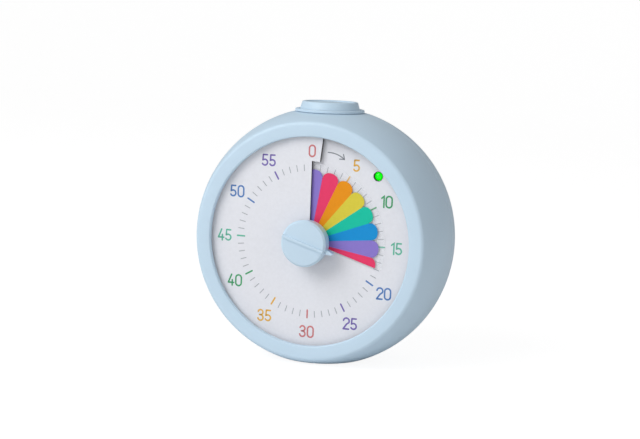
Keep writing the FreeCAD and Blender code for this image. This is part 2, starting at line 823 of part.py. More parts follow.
def tip_radius(teeth):
    return size.gear_module * (teeth / 2 + addendum)


def beyond(place, reach, circle, side):
    """Centre on a circle about the dial axis that lies a reach from a place, on one side."""
    x, z = number(place[0]), number(place[1])
    near = math.hypot(x, z)
    cosine = (near ** 2 + circle.value ** 2 - reach.value ** 2) / (2 * near * circle.value)
    turn = math.degrees(math.atan2(x, z) + side * math.acos(cosine))
    return polar(circle, turn)


second_at = polar(centre_distance(spindle_teeth, pinion_teeth), second_turn)
third_at = beyond(second_at, centre_distance(second_teeth, pinion_teeth), size.third_circle, 1)
rotor_at = beyond(third_at, centre_distance(third_teeth, rotor_teeth), size.rotor_circle, 1)
rotor_x, rotor_z = rotor_at
wheel_margin = size.movement_wall + size.run_gap
case_left = -size.coil_reach - size.bobbin_radius - 2 * wheel_margin
case_right = second_at[0] + tip_radius(second_teeth) + 2 * wheel_margin
case_low = third_at[1] - tip_radius(third_teeth) - wheel_margin
case_high = tip_radius(spindle_teeth) + 2 * wheel_margin
screw_inset = size.boss_radius + size.movement_wall
movement_screw_places = [(case_left + screw_inset, case_high - screw_inset),
                         (case_right - screw_inset, case_high - screw_inset),
                         (case_right - screw_inset, case_low + screw_inset)]


def case_outline(inset):
    left, right = case_left + inset, case_right - inset
    low, high = case_low + inset, case_high - inset
    clip = size.movement_clip - inset / 2
    return [(left + clip, low), (right - clip, low), (right, low + clip), (right, high - clip),
            (right - clip, high), (left + clip, high), (left, high - clip), (left, low + clip)]


def movement_bores(name, front, back):
    return [rod("%s_%d" % (name, i), x, z, front - over, back + over, size.screw_radius + size.fit_gap)
            for i, (x, z) in enumerate(movement_screw_places)]


front_plate = slab("movement_plate", case_outline(0), movement_front_face, movement_plate_back)
plate_bush_hole = rod("plate_bush_hole", 0, 0, movement_front_face - over, movement_plate_back + over,
                      bush_radius + size.bearing_gap)
movement_front = node("movement_front", cut(
    "movement_front", front_plate, plate_bush_hole,
    *movement_bores("plate_hole", movement_front_face, movement_plate_back)))
case_open = cut("movement_open", slab("movement_block", case_outline(0), movement_plate_back, movement_back),
                slab("movement_room", case_outline(size.movement_wall), movement_plate_back - over,
                     movement_inner_back))
case_columns = [rod("movement_column_%d" % i, x, z, movement_plate_back, movement_back, size.boss_radius)
                for i, (x, z) in enumerate(movement_screw_places)]
pivot_hole = rod("pivot_hole", 0, 0, movement_inner_back - over, movement_back + over,
                 size.spindle_tip + size.bearing_gap)
movement_rear = node("movement_rear", cut(
    "movement_rear", fuse("movement_ribbed", case_open, *case_columns), pivot_hole,
    *movement_bores("column_bore", movement_plate_back, movement_back)))


def wheel(name, teeth, front, back, place, towards, gap):
    """Spur wheel: a root cylinder and one trapezoid tooth repeated by a polar pattern, turned
    so that a tooth, or a gap, lies on the line to its neighbour."""
    rise, run = number(towards[1]) - number(place[1]), number(towards[0]) - number(place[0])
    phase = -math.degrees(math.atan2(rise, run)) - (full_turn / 2 / teeth if gap else 0)
    body = document.addObject("PartDesign::Body", name)
    body.Placement.Rotation = FreeCAD.Rotation(Vector(0, 1, 0), phase)
    put(body, place[0], 0, axis_height + place[1])
    root_radius = size.gear_module * (teeth / 2 - dedendum)
    disc = sketch_on(body, name + "_root", "XZ_Plane", -front)
    disc.addGeometry(Part.Circle(Vector(0, 0, 0), Vector(0, 0, 1), root_radius.value), False)
    disc.addConstraint(Sketcher.Constraint("Coincident", 0, 3, -1, 1))
    rim = disc.addConstraint(Sketcher.Constraint("Radius", 0, root_radius.value))
    disc.setExpression("Constraints[%d]" % rim, root_radius.text)
    padded(body, name + "_disc", disc, back - front)
    foot_half = size.gear_module * foot_width
    tip_half = size.gear_module * tip_width
    foot = root_radius - size.gear_module * tooth_root
    tip = tip_radius(teeth)
    flank = outline(sketch_on(body, name + "_tooth", "XZ_Plane", -front),
                    [(foot, -foot_half), (tip, -tip_half), (tip, tip_half), (foot, foot_half)])
    tooth = padded(body, name + "_tooth_pad", flank, back - front)
    ring = body.newObject("PartDesign::PolarPattern", name + "_teeth")
    ring.Originals = [tooth]
    ring.Axis = (disc, ["N_Axis"])
    ring.Angle = full_turn
    ring.Occurrences = teeth
    body.Tip = ring
    return body


def bored(name, shape, place, front, back, radius):
    bore = rod(name + "_bore", place[0], place[1], front - over, back + over, radius + size.bearing_gap)
    return cut(name, shape, bore)


centre = (0, 0)
wheel_back = wheel_front + size.wheel_face
spindle_wheel = node("spindle_wheel", bored(
    "spindle_wheel", wheel("spindle_disc", spindle_teeth, wheel_front, wheel_back, centre, second_at, False),
    centre, wheel_front, wheel_back, size.spindle_radius))
second_back = second_front + size.wheel_sheet
second_pair = fuse(
    "second_pair",
    wheel("second_pinion", pinion_teeth, wheel_front - size.pinion_lap, second_front, second_at, centre,
          True),
    wheel("second_disc", second_teeth, second_front, second_back, second_at, third_at, False))
second_wheel = node("second_wheel", bored("second_wheel", second_pair, second_at, wheel_front, second_back,
                                          size.arbor_radius))
third_back = third_front + size.wheel_sheet
third_pair = fuse(
    "third_pair",
    wheel("third_pinion", pinion_teeth, second_front - size.pinion_lap, third_front, third_at, second_at,
          True),
    wheel("third_disc", third_teeth, third_front, third_back, third_at, rotor_at, False))
third_wheel = node("third_wheel", bored("third_wheel", third_pair, third_at, wheel_front, third_back,
                                        size.arbor_radius))
rotor_front = third_front - 2 * size.pinion_lap
rotor_pair = fuse(
    "rotor_pair", wheel("rotor_pinion", rotor_teeth, rotor_front, magnet_front, rotor_at, third_at, True),
    rod("rotor_magnet", rotor_x, rotor_z, magnet_front, magnet_back, size.magnet_radius))
rotor = node("rotor", bored("rotor", rotor_pair, rotor_at, rotor_front, magnet_back,
                            size.rotor_arbor_radius))
arbors = node("arbors", group("arbors", *[
    rod("arbor_" + name, place[0], place[1], movement_plate_back, movement_inner_back, radius)
    for name, place, radius in (("second", second_at, size.arbor_radius),
                                ("third", third_at, size.arbor_radius),
                                ("rotor", rotor_at, size.rotor_arbor_radius))]))
clutch_bore = size.spindle_radius + size.bearing_gap
clutch_edge = wheel_back + size.clutch_sheet
ring_front = clutch_edge + size.clutch_rise
clutch_spring = node("clutch_spring", turned("clutch_spring", [
    (clutch_bore, wheel_back), (size.clutch_radius, wheel_back), (size.clutch_radius, clutch_edge),
    (clutch_bore, ring_front)]))
ring_back = ring_front + size.ring_sheet
retaining_ring = node("retaining_ring", turned("retaining_ring", [
    (size.spindle_radius, ring_front), (size.ring_radius, ring_front), (size.ring_radius, ring_back),
    (size.spindle_radius, ring_back)]))
zero_cam = node("zero_cam", turned("zero_cam", [
    (size.spindle_radius, cam_front), (size.cam_radius, cam_front), (size.cam_radius, cam_back),
    (size.spindle_radius, cam_back)]))

coil_x = -size.coil_reach
coil_y = wheel_front + size.coil_place
stator_front = coil_y - size.stator_sheet / 2
stator_back = coil_y + size.stator_sheet / 2
core_half = size.core_width / 2
ring_low = rotor_z - size.stator_ring
ring_top = rotor_z + size.stator_ring
ring_right = rotor_x + size.stator_ring
stator_plate = slab("stator_plate", [
    (coil_x - core_half, ring_low), (ring_right, ring_low), (ring_right, ring_top),
    (coil_x + core_half, ring_top),
    (coil_x + core_half, size.core_top), (coil_x - core_half, size.core_top)], stator_front, stator_back)
stator = node("stator", cut("stator", stator_plate, rod(
    "rotor_window", rotor_x, rotor_z, stator_front - over, stator_back + over,
    size.magnet_radius + size.run_gap)))
coil_low = ring_top + size.bobbin_flange
coil_high = size.core_top - size.bobbin_flange
winding_low = coil_low + size.bobbin_flange
winding_high = coil_high - size.bobbin_flange
core_gap = size.bearing_gap
bobbin_room = block("bobbin_room", coil_x - core_half - core_gap, coil_x + core_half + core_gap,
                    stator_front - core_gap, stator_back + core_gap, coil_low - over, coil_high + over)
bobbin_form = fuse("bobbin_form",
                   upright("bobbin_low", coil_x, coil_y, coil_low, winding_low, size.bobbin_radius),
                   upright("bobbin_tube", coil_x, coil_y, coil_low, coil_high, size.bobbin_tube),
                   upright("bobbin_high", coil_x, coil_y, winding_high, coil_high, size.bobbin_radius))
coil_bobbin = node("coil_bobbin", cut("coil_bobbin", bobbin_form, bobbin_room))
coil_winding = node("coil_winding", cut(
    "coil_winding", upright("winding_form", coil_x, coil_y, winding_low, winding_high, size.winding_radius),
    upright("winding_room", coil_x, coil_y, coil_low, coil_high, size.bobbin_tube)))
leaf_low = size.cam_radius + size.run_gap
leaf_left = -size.leaf_reach
leaf_front = cam_front + size.run_gap
contact_leaf = node("contact_leaf", fuse(
    "contact_leaf",
    block("leaf_blade", leaf_left, leaf_left + size.leaf_length, leaf_front, leaf_front + size.leaf_width,
          leaf_low, leaf_low + size.leaf_sheet),
    block("leaf_foot", leaf_left, leaf_left + size.leaf_sheet, leaf_front, movement_inner_back, leaf_low,
          leaf_low + size.leaf_foot)))

# Circuit board and what it carries
board_form = slab("board_form", [
    (-size.board_half, size.board_low), (size.board_half, size.board_low),
    (size.board_half, size.board_shoulder), (size.board_half - size.board_clip, size.board_high),
    (size.board_clip - size.board_half, size.board_high), (-size.board_half, size.board_shoulder)],
    board_front, board_back)
circuit_board = node("circuit_board", cut("circuit_board", board_form, *[
    rod("board_hole_%d" % i, x, z, board_front - over, board_back + over, size.screw_radius + size.fit_gap)
    for i, (x, z) in enumerate(board_posts_at)]))
buzzer_end = board_back + size.buzzer_height
buzzer_edge = 0.5
buzzer = node("buzzer", turned("buzzer", [
    (0, board_back), (size.buzzer_radius, board_back), (size.buzzer_radius, buzzer_end - buzzer_edge),
    (size.buzzer_radius - buzzer_edge, buzzer_end), (size.sound_radius, buzzer_end),
    (size.sound_radius, buzzer_end - 2 * buzzer_edge), (0, buzzer_end - 2 * buzzer_edge)],
    x=size.buzzer_x, z=size.buzzer_z))
can_back = cavity_back - size.run_gap - size.board_sheet
can_room_half = size.slider_width / 2 + size.switch_travel + size.run_gap
slider_half = size.slider_height / 2
slider_front = can_back - size.slider_thick + size.run_gap
slide_switch_can = block("slide_switch_can", size.switch_x - size.switch_width / 2,
                         size.switch_x + size.switch_width / 2, board_back, can_back,
                         size.switch_z - size.switch_height / 2, size.switch_z + size.switch_height / 2)
slide_switch_room = block("slide_switch_room", size.switch_x - can_room_half, size.switch_x + can_room_half,
                          slider_front - size.run_gap, can_back + over,
                          size.switch_z - slider_half - size.run_gap,
                          size.switch_z + slider_half + size.run_gap)
slide_switch = node("slide_switch", cut("slide_switch", slide_switch_can, slide_switch_room))
switch_slider = node("switch_slider", fuse(
    "switch_slider",
    block("slider_foot", size.switch_x - size.slider_width / 2, size.switch_x + size.slider_width / 2,
          slider_front, can_back + size.run_gap, size.switch_z - slider_half, size.switch_z + slider_half),
    block("slider_grip", size.switch_x - size.grip_width / 2, size.switch_x + size.grip_width / 2,
          can_back, half_depth - size.fit_gap, size.switch_z - size.grip_height / 2,
          size.switch_z + size.grip_height / 2)))
chip_low = size.board_low + size.board_post_radius + size.chip_height
timer_chip = node("timer_chip", block("timer_chip", -size.chip_width, 0, board_back,
                                      board_back + size.chip_thick, chip_low, chip_low + size.chip_height))
lamp_front = dial_front + core_gap
lamp_shoulder = chassis_back
lamp_base = lamp_shoulder + size.lamp_rim
lamp = node("lamp", turned("lamp", [
    (0, lamp_front), (size.lamp_radius, lamp_front + size.lamp_radius), (size.lamp_radius, lamp_shoulder),
    (size.lamp_radius + size.lamp_flange, lamp_shoulder), (size.lamp_radius + size.lamp_flange, lamp_base),
    (0, lamp_base)], arcs=[(0, lamp_front + size.lamp_radius)], x=lamp_x, z=lamp_z))
leg_places = [lamp_x - size.leg_offset, lamp_x + size.leg_offset]
lamp_legs = node("lamp_legs", group("lamp_legs", *[
    rod("lamp_leg_%d" % i, x, lamp_z, lamp_base, board_front, size.leg_radius)
    for i, x in enumerate(leg_places)]))
lamp_spacer = node("lamp_spacer", cut(
    "lamp_spacer", rod("spacer_form", lamp_x, lamp_z, lamp_base, board_front, size.spacer_radius), *[
        rod("spacer_bore_%d" % i, x, lamp_z, lamp_base - over, board_front + over,
            size.leg_radius + size.bearing_gap) for i, x in enumerate(leg_places)]))

# Batteries, contacts and door
cell_y = door_front - size.cell_gap - size.cell_radius
upper_z = size.bay_top - size.cell_gap - size.cell_radius
lower_z = upper_z - 2 * (size.cell_radius + size.cell_gap)
cell_half = size.cell_length / 2
plate_inner = bay_half - size.plate_thick


def cell(name, z, nub_left, nub_right):
    can = bar(name + "_can", -cell_half, cell_half, cell_y, z, size.cell_radius)
    return node(name, fuse(name, can, bar(name + "_nub", nub_left, nub_right, cell_y, z, size.nub_radius)))


upper_battery = cell("upper_battery", upper_z, cell_half, cell_half + size.nub_length)
lower_battery = cell("lower_battery", lower_z, -cell_half - size.nub_length, -cell_half)


def contact_plate(name, left, right, z):
    half = size.plate_side / 2
    return block(name, left, right, cell_y - half, cell_y + half, z - half, z + half)


battery_plates = node("battery_plates", group(
    "battery_plates",
    contact_plate("plate_upper_right", plate_inner, bay_half, upper_z),
    contact_plate("plate_lower_right", plate_inner, bay_half, lower_z),
    contact_plate("plate_upper_left", -bay_half, -plate_inner, upper_z),
    contact_plate("plate_lower_left", -bay_half, -plate_inner, lower_z)))


def wound_spring(name, z, side):
    """Close-wound conical spring on a contact plate: a turned cone whose flank steps from
    coil to coil, narrowing towards the cell."""
    coils = 4
    reach = plate_inner - cell_half
    step = reach / coils
    taper = (size.spring_radius - size.nub_radius) / coils
    corners = [(0, 0)]
    for coil in range(coils):
        radius = size.spring_radius - taper * coil
        corners += [(radius - size.spring_wire, step * coil), (radius, step * (coil + 0.5)),
                    (radius - size.spring_wire, step * (coil + 1))]
    corners.append((0, reach))
    body = document.addObject("PartDesign::Body", name)
    body.Placement.Rotation = FreeCAD.Rotation(Vector(0, 0, 1), 90 * side)
    put(body, side * plate_inner, cell_y, axis_height + z)
    revolved(body, name + "_turn", outline(sketch_on(body, name + "_profile", "XY_Plane"), corners))
    return body


battery_springs = node("battery_springs", group(
    "battery_springs", wound_spring("spring_upper_left", upper_z, -1),
    wound_spring("spring_lower_right", lower_z, 1)))
door_plate = fuse("door_plate",
                  block("door_sheet", -door_half, door_half, door_front, half_depth, door_pin_z, door_high),
                  bar("door_edge", -door_half, door_half, door_pin_y, door_pin_z, size.door_sheet / 2),
                  bar("door_pins", -door_half - size.door_pin_length, door_half + size.door_pin_length,
                      door_pin_y, door_pin_z, size.door_pin))
thumb_top = door_high - size.door_rim
battery_door = node("battery_door", cut("battery_door", door_plate, block(
    "thumb_recess", -size.thumb_width / 2, size.thumb_width / 2, half_depth - size.thumb_depth,
    half_depth + over, thumb_top - size.thumb_height, thumb_top)))


# Fasteners: identical ones share a node
def screw(name, x, z, seat, head_side, bite):
    """Pan-head screw: its head on one side of the seat, its shank the other way."""
    top = seat + head_side * size.head_height
    tip = seat - head_side * bite
    slot_floor = top - head_side * size.slot_width
    slot_end = top + head_side * over
    head_front, head_back = (seat, top) if head_side > 0 else (top, seat)
    stem_front, stem_back = (tip, seat) if head_side > 0 else (seat, tip)
    slot_front, slot_back = (slot_floor, slot_end) if head_side > 0 else (slot_end, slot_floor)
    form = fuse(name + "_form", rod(name + "_head", x, z, head_front, head_back, size.head_radius),
                rod(name + "_stem", x, z, stem_front, stem_back, size.screw_radius - size.fit_gap / 2))
    slot_half_length = size.head_radius * 2 / 3
    return cut(name, form, block(name + "_slot", x - slot_half_length, x + slot_half_length, slot_front,
                                 slot_back, z - size.slot_width / 2, z + size.slot_width / 2))


def screws(name, places, seat, head_side, bite):
    return node(name, group(name, *[screw("%s_%d" % (name, i), x, z, seat, head_side, bite)
                                    for i, (x, z) in enumerate(places)]))


well_floor = half_depth - size.well_depth
screws("chassis_screws", boss_places, chassis_back, 1, size.chassis_plate + size.screw_bite)
screws("case_screws", pillar_places, well_floor, 1, well_floor - pillar_meet + size.case_screw_bite)
screws("board_screws", board_posts_at, board_front, -1, size.board_screw_bite)
screws("movement_screws", movement_screw_places, movement_back, 1, movement_back - movement_front_face)


def finish():
    document.recompute()
    broken = [thing.Name for thing in document.Objects
              if "Invalid" in thing.State or "Error" in thing.State]
    if broken:
        raise RuntimeError("failed features: " + ", ".join(broken))
    for name, thing in nodes:
        if thing.Shape.isNull() or not thing.Shape.isValid():
            raise RuntimeError("bad shape: " + name)
    os.makedirs("parts", exist_ok=True)
    for name, thing in nodes:
        thing.Shape.exportStep("parts/%s.step" % name)
    print(len(nodes), "sub-parts written")


finish()
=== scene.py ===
"""Looks of a visual countdown timer: moulded casing, printed screw-shaped dial, clear
petal disc, knob, top button and the details of its back. All lengths are in metres."""
import json
import math

import bmesh
import bpy
import numpy as np
from bpy.props import FloatProperty, FloatVectorProperty, PointerProperty
from mathutils import Matrix, Vector


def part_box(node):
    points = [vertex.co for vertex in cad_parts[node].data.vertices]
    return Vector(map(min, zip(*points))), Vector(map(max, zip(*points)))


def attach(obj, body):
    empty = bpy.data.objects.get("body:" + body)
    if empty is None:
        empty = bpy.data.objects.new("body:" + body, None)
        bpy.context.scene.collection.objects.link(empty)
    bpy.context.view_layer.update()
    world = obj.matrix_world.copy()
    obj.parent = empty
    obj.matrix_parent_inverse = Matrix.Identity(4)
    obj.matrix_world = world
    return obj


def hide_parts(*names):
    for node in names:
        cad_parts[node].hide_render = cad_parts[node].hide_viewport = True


bl_info = {
    "name": "Countdown Timer",
    "version": (1, 0, 0),
    "blender": (4, 5, 0),
    "location": "View3D > Sidebar > Timer",
    "description": "Dresses the packed timer with its surfaces, print and finishes",
    "category": "Add Mesh",
}

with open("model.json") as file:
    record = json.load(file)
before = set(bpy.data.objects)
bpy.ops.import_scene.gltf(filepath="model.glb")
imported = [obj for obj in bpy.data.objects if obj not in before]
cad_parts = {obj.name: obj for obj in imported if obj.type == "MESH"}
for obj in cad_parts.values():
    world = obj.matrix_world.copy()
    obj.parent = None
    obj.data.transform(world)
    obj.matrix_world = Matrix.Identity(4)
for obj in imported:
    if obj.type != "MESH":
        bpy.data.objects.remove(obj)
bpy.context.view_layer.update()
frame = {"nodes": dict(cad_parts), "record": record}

MM = 0.001


def middle_of(node):
    low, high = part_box(node)
    return (low + high) / 2


# Places and sizes that the frame gives
AXIS = middle_of("spindle").z
HALF_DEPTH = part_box("rear_shell")[1].y
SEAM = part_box("front_shell")[1].y
CASING_RADIUS = (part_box("front_shell")[1].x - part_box("front_shell")[0].x) / 2
DIAL_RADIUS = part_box("dial_plate")[1].x
DISC_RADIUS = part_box("colour_disc")[1].x
HUB_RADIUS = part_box("disc_hub")[1].x
BUTTON_Y = middle_of("top_button").y
BUTTON_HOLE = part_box("top_button")[1].x
LAMP_X = middle_of("lamp").x
LAMP_Z = middle_of("lamp").z - AXIS

# The casing, its flat under the button and the screw wells of its back
WALL = 2.0 * MM
COLLAR_RISE = 0.9 * MM
TOP_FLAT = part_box("button_collar")[1].z - AXIS - COLLAR_RISE
WELL_CIRCLE = 33.7 * MM
WELL_RADIUS = 2.4 * MM
WELL_DEPTH = 9 * MM
WELL_PLACES = [(WELL_CIRCLE * math.sin(math.radians(turn)), WELL_CIRCLE * math.cos(math.radians(turn)))
               for turn in (-26.3, 26.3, -158.6, 158.6)]

# The dial's sheet, the disc that winds through it and the slit's step
DIAL_FRONT = -16 * MM
DIAL_SHEET = 0.6 * MM
DIAL_BORE = 6 * MM
DISC_SHEET = 0.3 * MM
RUN_GAP = 0.3 * MM
SCREW_PITCH = DIAL_SHEET + DISC_SHEET + 2 * RUN_GAP
SLIT_RADIUS = 27.6 * MM
SLIT_STEP = 6.0
LEAD = 107.0
LAMP_HOLE = 1.7 * MM

# Print stands this far above what it is printed on, and reaches this far into the dial
PRINT_LIFT = 0.03 * MM
PRINT_SINK = 0.05 * MM

# A cutter reaches this far past the face that it opens, and a through cut this far behind it
OVER = 1 * MM
THROUGH = 4 * MM


# Settings that a user would change
def colour(name, description, value):
    return FloatVectorProperty(name=name, description=description, subtype="COLOR", size=3,
                               min=0, max=1, default=value)


def length(name, description, value):
    return FloatProperty(name=name, description=description, subtype="DISTANCE", unit="LENGTH",
                         min=0, default=value)


class TimerSizes(bpy.types.PropertyGroup):
    """Sizes of the dressed pieces."""
    window: length("Window", "Radius of the front ring's opening", 35.9 * MM)
    rim_round: length("Rim rounding", "Rounding between ring and barrel", 1.6 * MM)
    wall: length("Wall", "Wall of the shells", WALL)
    tick_inner: length("Tick start", "Inner radius of the minute marks", 23.6 * MM)
    tick_outer: length("Tick end", "Outer radius of the minute marks", 26.8 * MM)
    numeral_ring: length("Numeral ring", "Radius at which the numbers stand", 31.2 * MM)
    numeral_height: length("Numeral height", "Height of a number", 3.78 * MM)
    petal_tip: length("Petal tip", "Outer radius of the petals", 24.7 * MM)


class TimerColours(bpy.types.PropertyGroup):
    """Colours of the finishes, as linear values."""
    casing: colour("Casing", "Moulded casing", (0.575, 0.735, 0.87))
    dial: colour("Dial", "Printed dial sheet", (0.80, 0.81, 0.86))
    purple: colour("Purple", "Petal and number", (0.27, 0.20, 0.62))
    pink: colour("Pink", "Petal", (0.83, 0.05, 0.15))
    orange: colour("Orange", "Petal", (0.84, 0.30, 0.01))
    yellow: colour("Yellow", "Petal", (0.72, 0.62, 0.06))
    teal: colour("Teal", "Petal", (0.01, 0.56, 0.38))
    blue: colour("Blue", "Petal", (0.01, 0.29, 0.68))


# Grid surfaces
def mesh_piece(name, points, faces):
    mesh = bpy.data.meshes.new(name)
    mesh.from_pydata(np.asarray(points, float).reshape(-1, 3), [], faces)
    mesh.update()
    piece = bpy.data.objects.new(name, mesh)
    bpy.context.scene.collection.objects.link(piece)
    return piece


def grid_faces(rows, columns, closed_rows, closed_columns, first=0):
    """Quads of a grid of points counted row by row; a closed direction wraps round."""
    i = np.arange(rows if closed_rows else rows - 1)
    j = np.arange(columns if closed_columns else columns - 1)
    i, j = [part.ravel() for part in np.meshgrid(i, j, indexing="ij")]
    i2, j2 = (i + 1) % rows, (j + 1) % columns
    quads = np.stack([i * columns + j, i * columns + j2, i2 * columns + j2, i2 * columns + j], 1)
    return quads + first


def tidy(piece, angle=30):
    """Merge doubles, point faces outwards and shade smooth up to an angle."""
    work = bmesh.new()
    work.from_mesh(piece.data)
    bmesh.ops.remove_doubles(work, verts=work.verts, dist=1e-6)
    bmesh.ops.dissolve_degenerate(work, edges=work.edges, dist=1e-7)
    bmesh.ops.recalc_face_normals(work, faces=work.faces)
    work.to_mesh(piece.data)
    work.free()
    piece.data.shade_smooth()
    piece.data.set_sharp_from_angle(angle=math.radians(angle))
    return piece


def arc(centre, radius, start, end, steps):
    """Points of an arc: centre plus radius times (cos, sin) of evenly spaced angles."""
    turn = np.radians(np.linspace(start, end, steps))
    return np.stack([centre[0] + radius * np.cos(turn), centre[1] + radius * np.sin(turn)], 1)


def revolve(name, profile, steps, about, place):
    """Closed surface of revolution: each profile point (radius, along) becomes the ring
    radius * (sin t, cos t) at its place along the axis."""
    profile = np.asarray(profile, float)
    turn = np.linspace(0, 2 * np.pi, steps, endpoint=False)
    radius, along = profile[:, 0, None], profile[:, 1, None] + 0 * turn
    across, up = radius * np.sin(turn), radius * np.cos(turn)
    if about == "depth":
        points = np.stack([across + place[0], along, up + place[1]], -1)
    else:
        points = np.stack([across + place[0], up + place[1], along], -1)
    faces = grid_faces(len(profile), steps, True, True)
    return tidy(mesh_piece(name, points, faces.tolist()))


def bore(name, place, radius, front, back, steps):
    """Cylinder along the depth, used only as a cutter."""
    profile = [(0, front), (radius, front), (radius, back), (0, back)]
    return revolve(name, profile, steps, "depth", place)


def box_piece(name, low, high):
    """Plain box as a 2 by 2 by 2 grid of corners, used only as a cutter."""
    x, y, z = [np.array(pair, float) for pair in zip(low, high)]
    points = np.stack(np.meshgrid(x, y, z, indexing="ij"), -1).reshape(-1, 3)
    faces = [(0, 1, 3, 2), (4, 6, 7, 5), (0, 4, 5, 1), (2, 3, 7, 6), (0, 2, 6, 4), (1, 5, 7, 3)]
    return tidy(mesh_piece(name, points, faces))


def join(name, parts):
    bpy.ops.object.select_all(action="DESELECT")
    for part in parts:
        part.select_set(True)
    bpy.context.view_layer.objects.active = parts[0]
    bpy.ops.object.join()
    parts[0].name = name
    parts[0].data.name = name
    return parts[0]


def carve(piece, cutters):
    """Cut the cutters away, apply it and delete them."""
    for cutter in cutters:
        modifier = piece.modifiers.new("cut", "BOOLEAN")
        modifier.operation = "DIFFERENCE"
        modifier.solver = "EXACT"
        modifier.object = cutter
        graph = bpy.context.evaluated_depsgraph_get()
        mesh = bpy.data.meshes.new_from_object(piece.evaluated_get(graph))
        piece.modifiers.clear()
        old = piece.data
        piece.data = mesh
        bpy.data.meshes.remove(old)
        bpy.data.objects.remove(cutter)
    piece.data.name = piece.name
    piece.data.set_sharp_from_angle(angle=math.radians(30))
    return piece


def copy_of_node(name, node, angle):
    """Merged, smoothly shaded copy of a node's mesh, used where its form is already right."""
    piece = bpy.data.objects.new(name, frame["nodes"][node].data.copy())
    bpy.context.scene.collection.objects.link(piece)
    piece.data.materials.clear()
    return tidy(piece, angle)


def dress(piece, body, material, stands_for=()):
    piece.data.materials.clear()
    piece.data.materials.append(material)
    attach(piece, body)
    if stands_for:
        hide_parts(*stands_for)
    return piece


# The dial's screw surface
def screw_front(x, z, lift):
    """Place along the depth of the dial's front at (x, z) from the axis, less a lift:
    front - pitch * angle / 360, the angle clockwise from zero; outside the slit's step it
    counts from the step on."""
    angle = np.degrees(np.arctan2(x, z)) % 360
    far = np.hypot(x, z) > SLIT_RADIUS
    angle = np.where(far & (angle < SLIT_STEP), angle + 360, angle)
    return DIAL_FRONT - SCREW_PITCH * angle / 360 - lift


def ribbon(name, path, width, closed=False, caps=6):
    """Printed stroke: a flat band of constant width carried along a path in the dial's
    plane, its front just above the screw surface and its back just inside it. An open
    stroke's ends are half circles, whose half width is width / 2 * sin t."""
    path = np.asarray(path, float)
    if closed:
        ahead, behind = np.roll(path, -1, 0), np.roll(path, 1, 0)
    else:
        start = path[1] - path[0]
        finish = path[-1] - path[-2]
        turn = np.linspace(0, np.pi / 2, caps)[:, None]
        unit_start, unit_finish = start / np.hypot(*start), finish / np.hypot(*finish)
        head = path[0] - unit_start * width / 2 * np.cos(turn)
        tail = path[-1] + unit_finish * width / 2 * np.sin(turn)
        widths = np.concatenate([np.sin(turn[:, 0]), np.ones(len(path) - 2), np.cos(turn[:, 0])])
        path = np.concatenate([head, path[1:-1], tail])
        ahead = np.concatenate([path[1:], path[-1:] + unit_finish])
        behind = np.concatenate([path[:1] - unit_start, path[:-1]])
    if closed:
        widths = np.ones(len(path))
    one, two = path - behind, ahead - path
    one /= np.maximum(np.hypot(one[:, 0], one[:, 1]), 1e-12)[:, None]
    two /= np.maximum(np.hypot(two[:, 0], two[:, 1]), 1e-12)[:, None]
    along = one + two
    along /= np.maximum(np.hypot(along[:, 0], along[:, 1]), 1e-12)[:, None]
    miter = 1 / np.clip((along * one).sum(1), 0.5, 1)
    half = np.maximum(widths, 0.02) * miter * width / 2
    normal = np.stack([along[:, 1], -along[:, 0]], 1) * half[:, None]
    left, right = path - normal, path + normal
    rows = []
    for edge, lift in ((left, PRINT_LIFT), (right, PRINT_LIFT), (right, -PRINT_SINK), (left, -PRINT_SINK)):
        rows.append(np.stack([edge[:, 0], screw_front(edge[:, 0], edge[:, 1], lift), edge[:, 1] + AXIS], -1))
    points = np.stack(rows, 1)
    faces = grid_faces(len(path), 4, closed, True).tolist()
    if not closed:
        last = 4 * (len(path) - 1)
        faces += [[3, 2, 1, 0], [last, last + 1, last + 2, last + 3]]
    return tidy(mesh_piece(name, points, faces), 40)


def screw_sheet(name, inner, outer, first, last, front, back, rows, columns):
    """Solid sheet between two copies of the screw surface: a grid over radius and angle,
    wrapped from the front to the back and closed at both ends. The outer radius is one
    length, or one for each column."""
    if np.ndim(outer) == 0:
        outer = np.full(columns, float(outer))
    turn = np.linspace(first, last, columns)
    share = np.linspace(0, 1, rows)[:, None]
    radius = inner + share * (outer - inner)
    loops = []
    for place, order in ((front, 1), (back, -1)):
        x = radius * np.sin(np.radians(turn))
        z = radius * np.cos(np.radians(turn))
        y = place - SCREW_PITCH * turn / 360 + 0 * radius
        loops.append(np.stack([x, y, z + AXIS], -1)[::order])
    points = np.concatenate(loops)
    faces = grid_faces(2 * rows, columns, True, False).tolist()
    around = np.arange(2 * rows) * columns
    faces += [around[::-1].tolist(), (around + columns - 1).tolist()]
    return tidy(mesh_piece(name, points, faces))


def slit_edge(name, inner, outer, turn):
    """Painted shade: a dark strip on a cut end of the dial sheet, standing for the shade in the gap under the
    slit's step; a grid over radius and depth at one angle, wrapped round a thin section."""
    thickness = 0.05 * MM
    angle = math.radians(turn)
    radius = np.linspace(inner, outer, 9)
    back = DIAL_FRONT - SCREW_PITCH * turn / 360 + DIAL_SHEET
    front = back - DIAL_SHEET + 0.02 * MM
    section = [(0.0, front), (thickness, front), (thickness, back), (0.0, back)]
    points = np.stack([np.stack([radius * math.sin(angle) + aside * math.cos(angle), 0 * radius + depth,
                                 radius * math.cos(angle) - aside * math.sin(angle) + AXIS], -1)
                       for aside, depth in section], 1)
    faces = grid_faces(len(radius), 4, False, True).tolist()
    last = 4 * (len(radius) - 1)
    faces += [[3, 2, 1, 0], [last, last + 1, last + 2, last + 3]]
    return tidy(mesh_piece(name, points, faces))


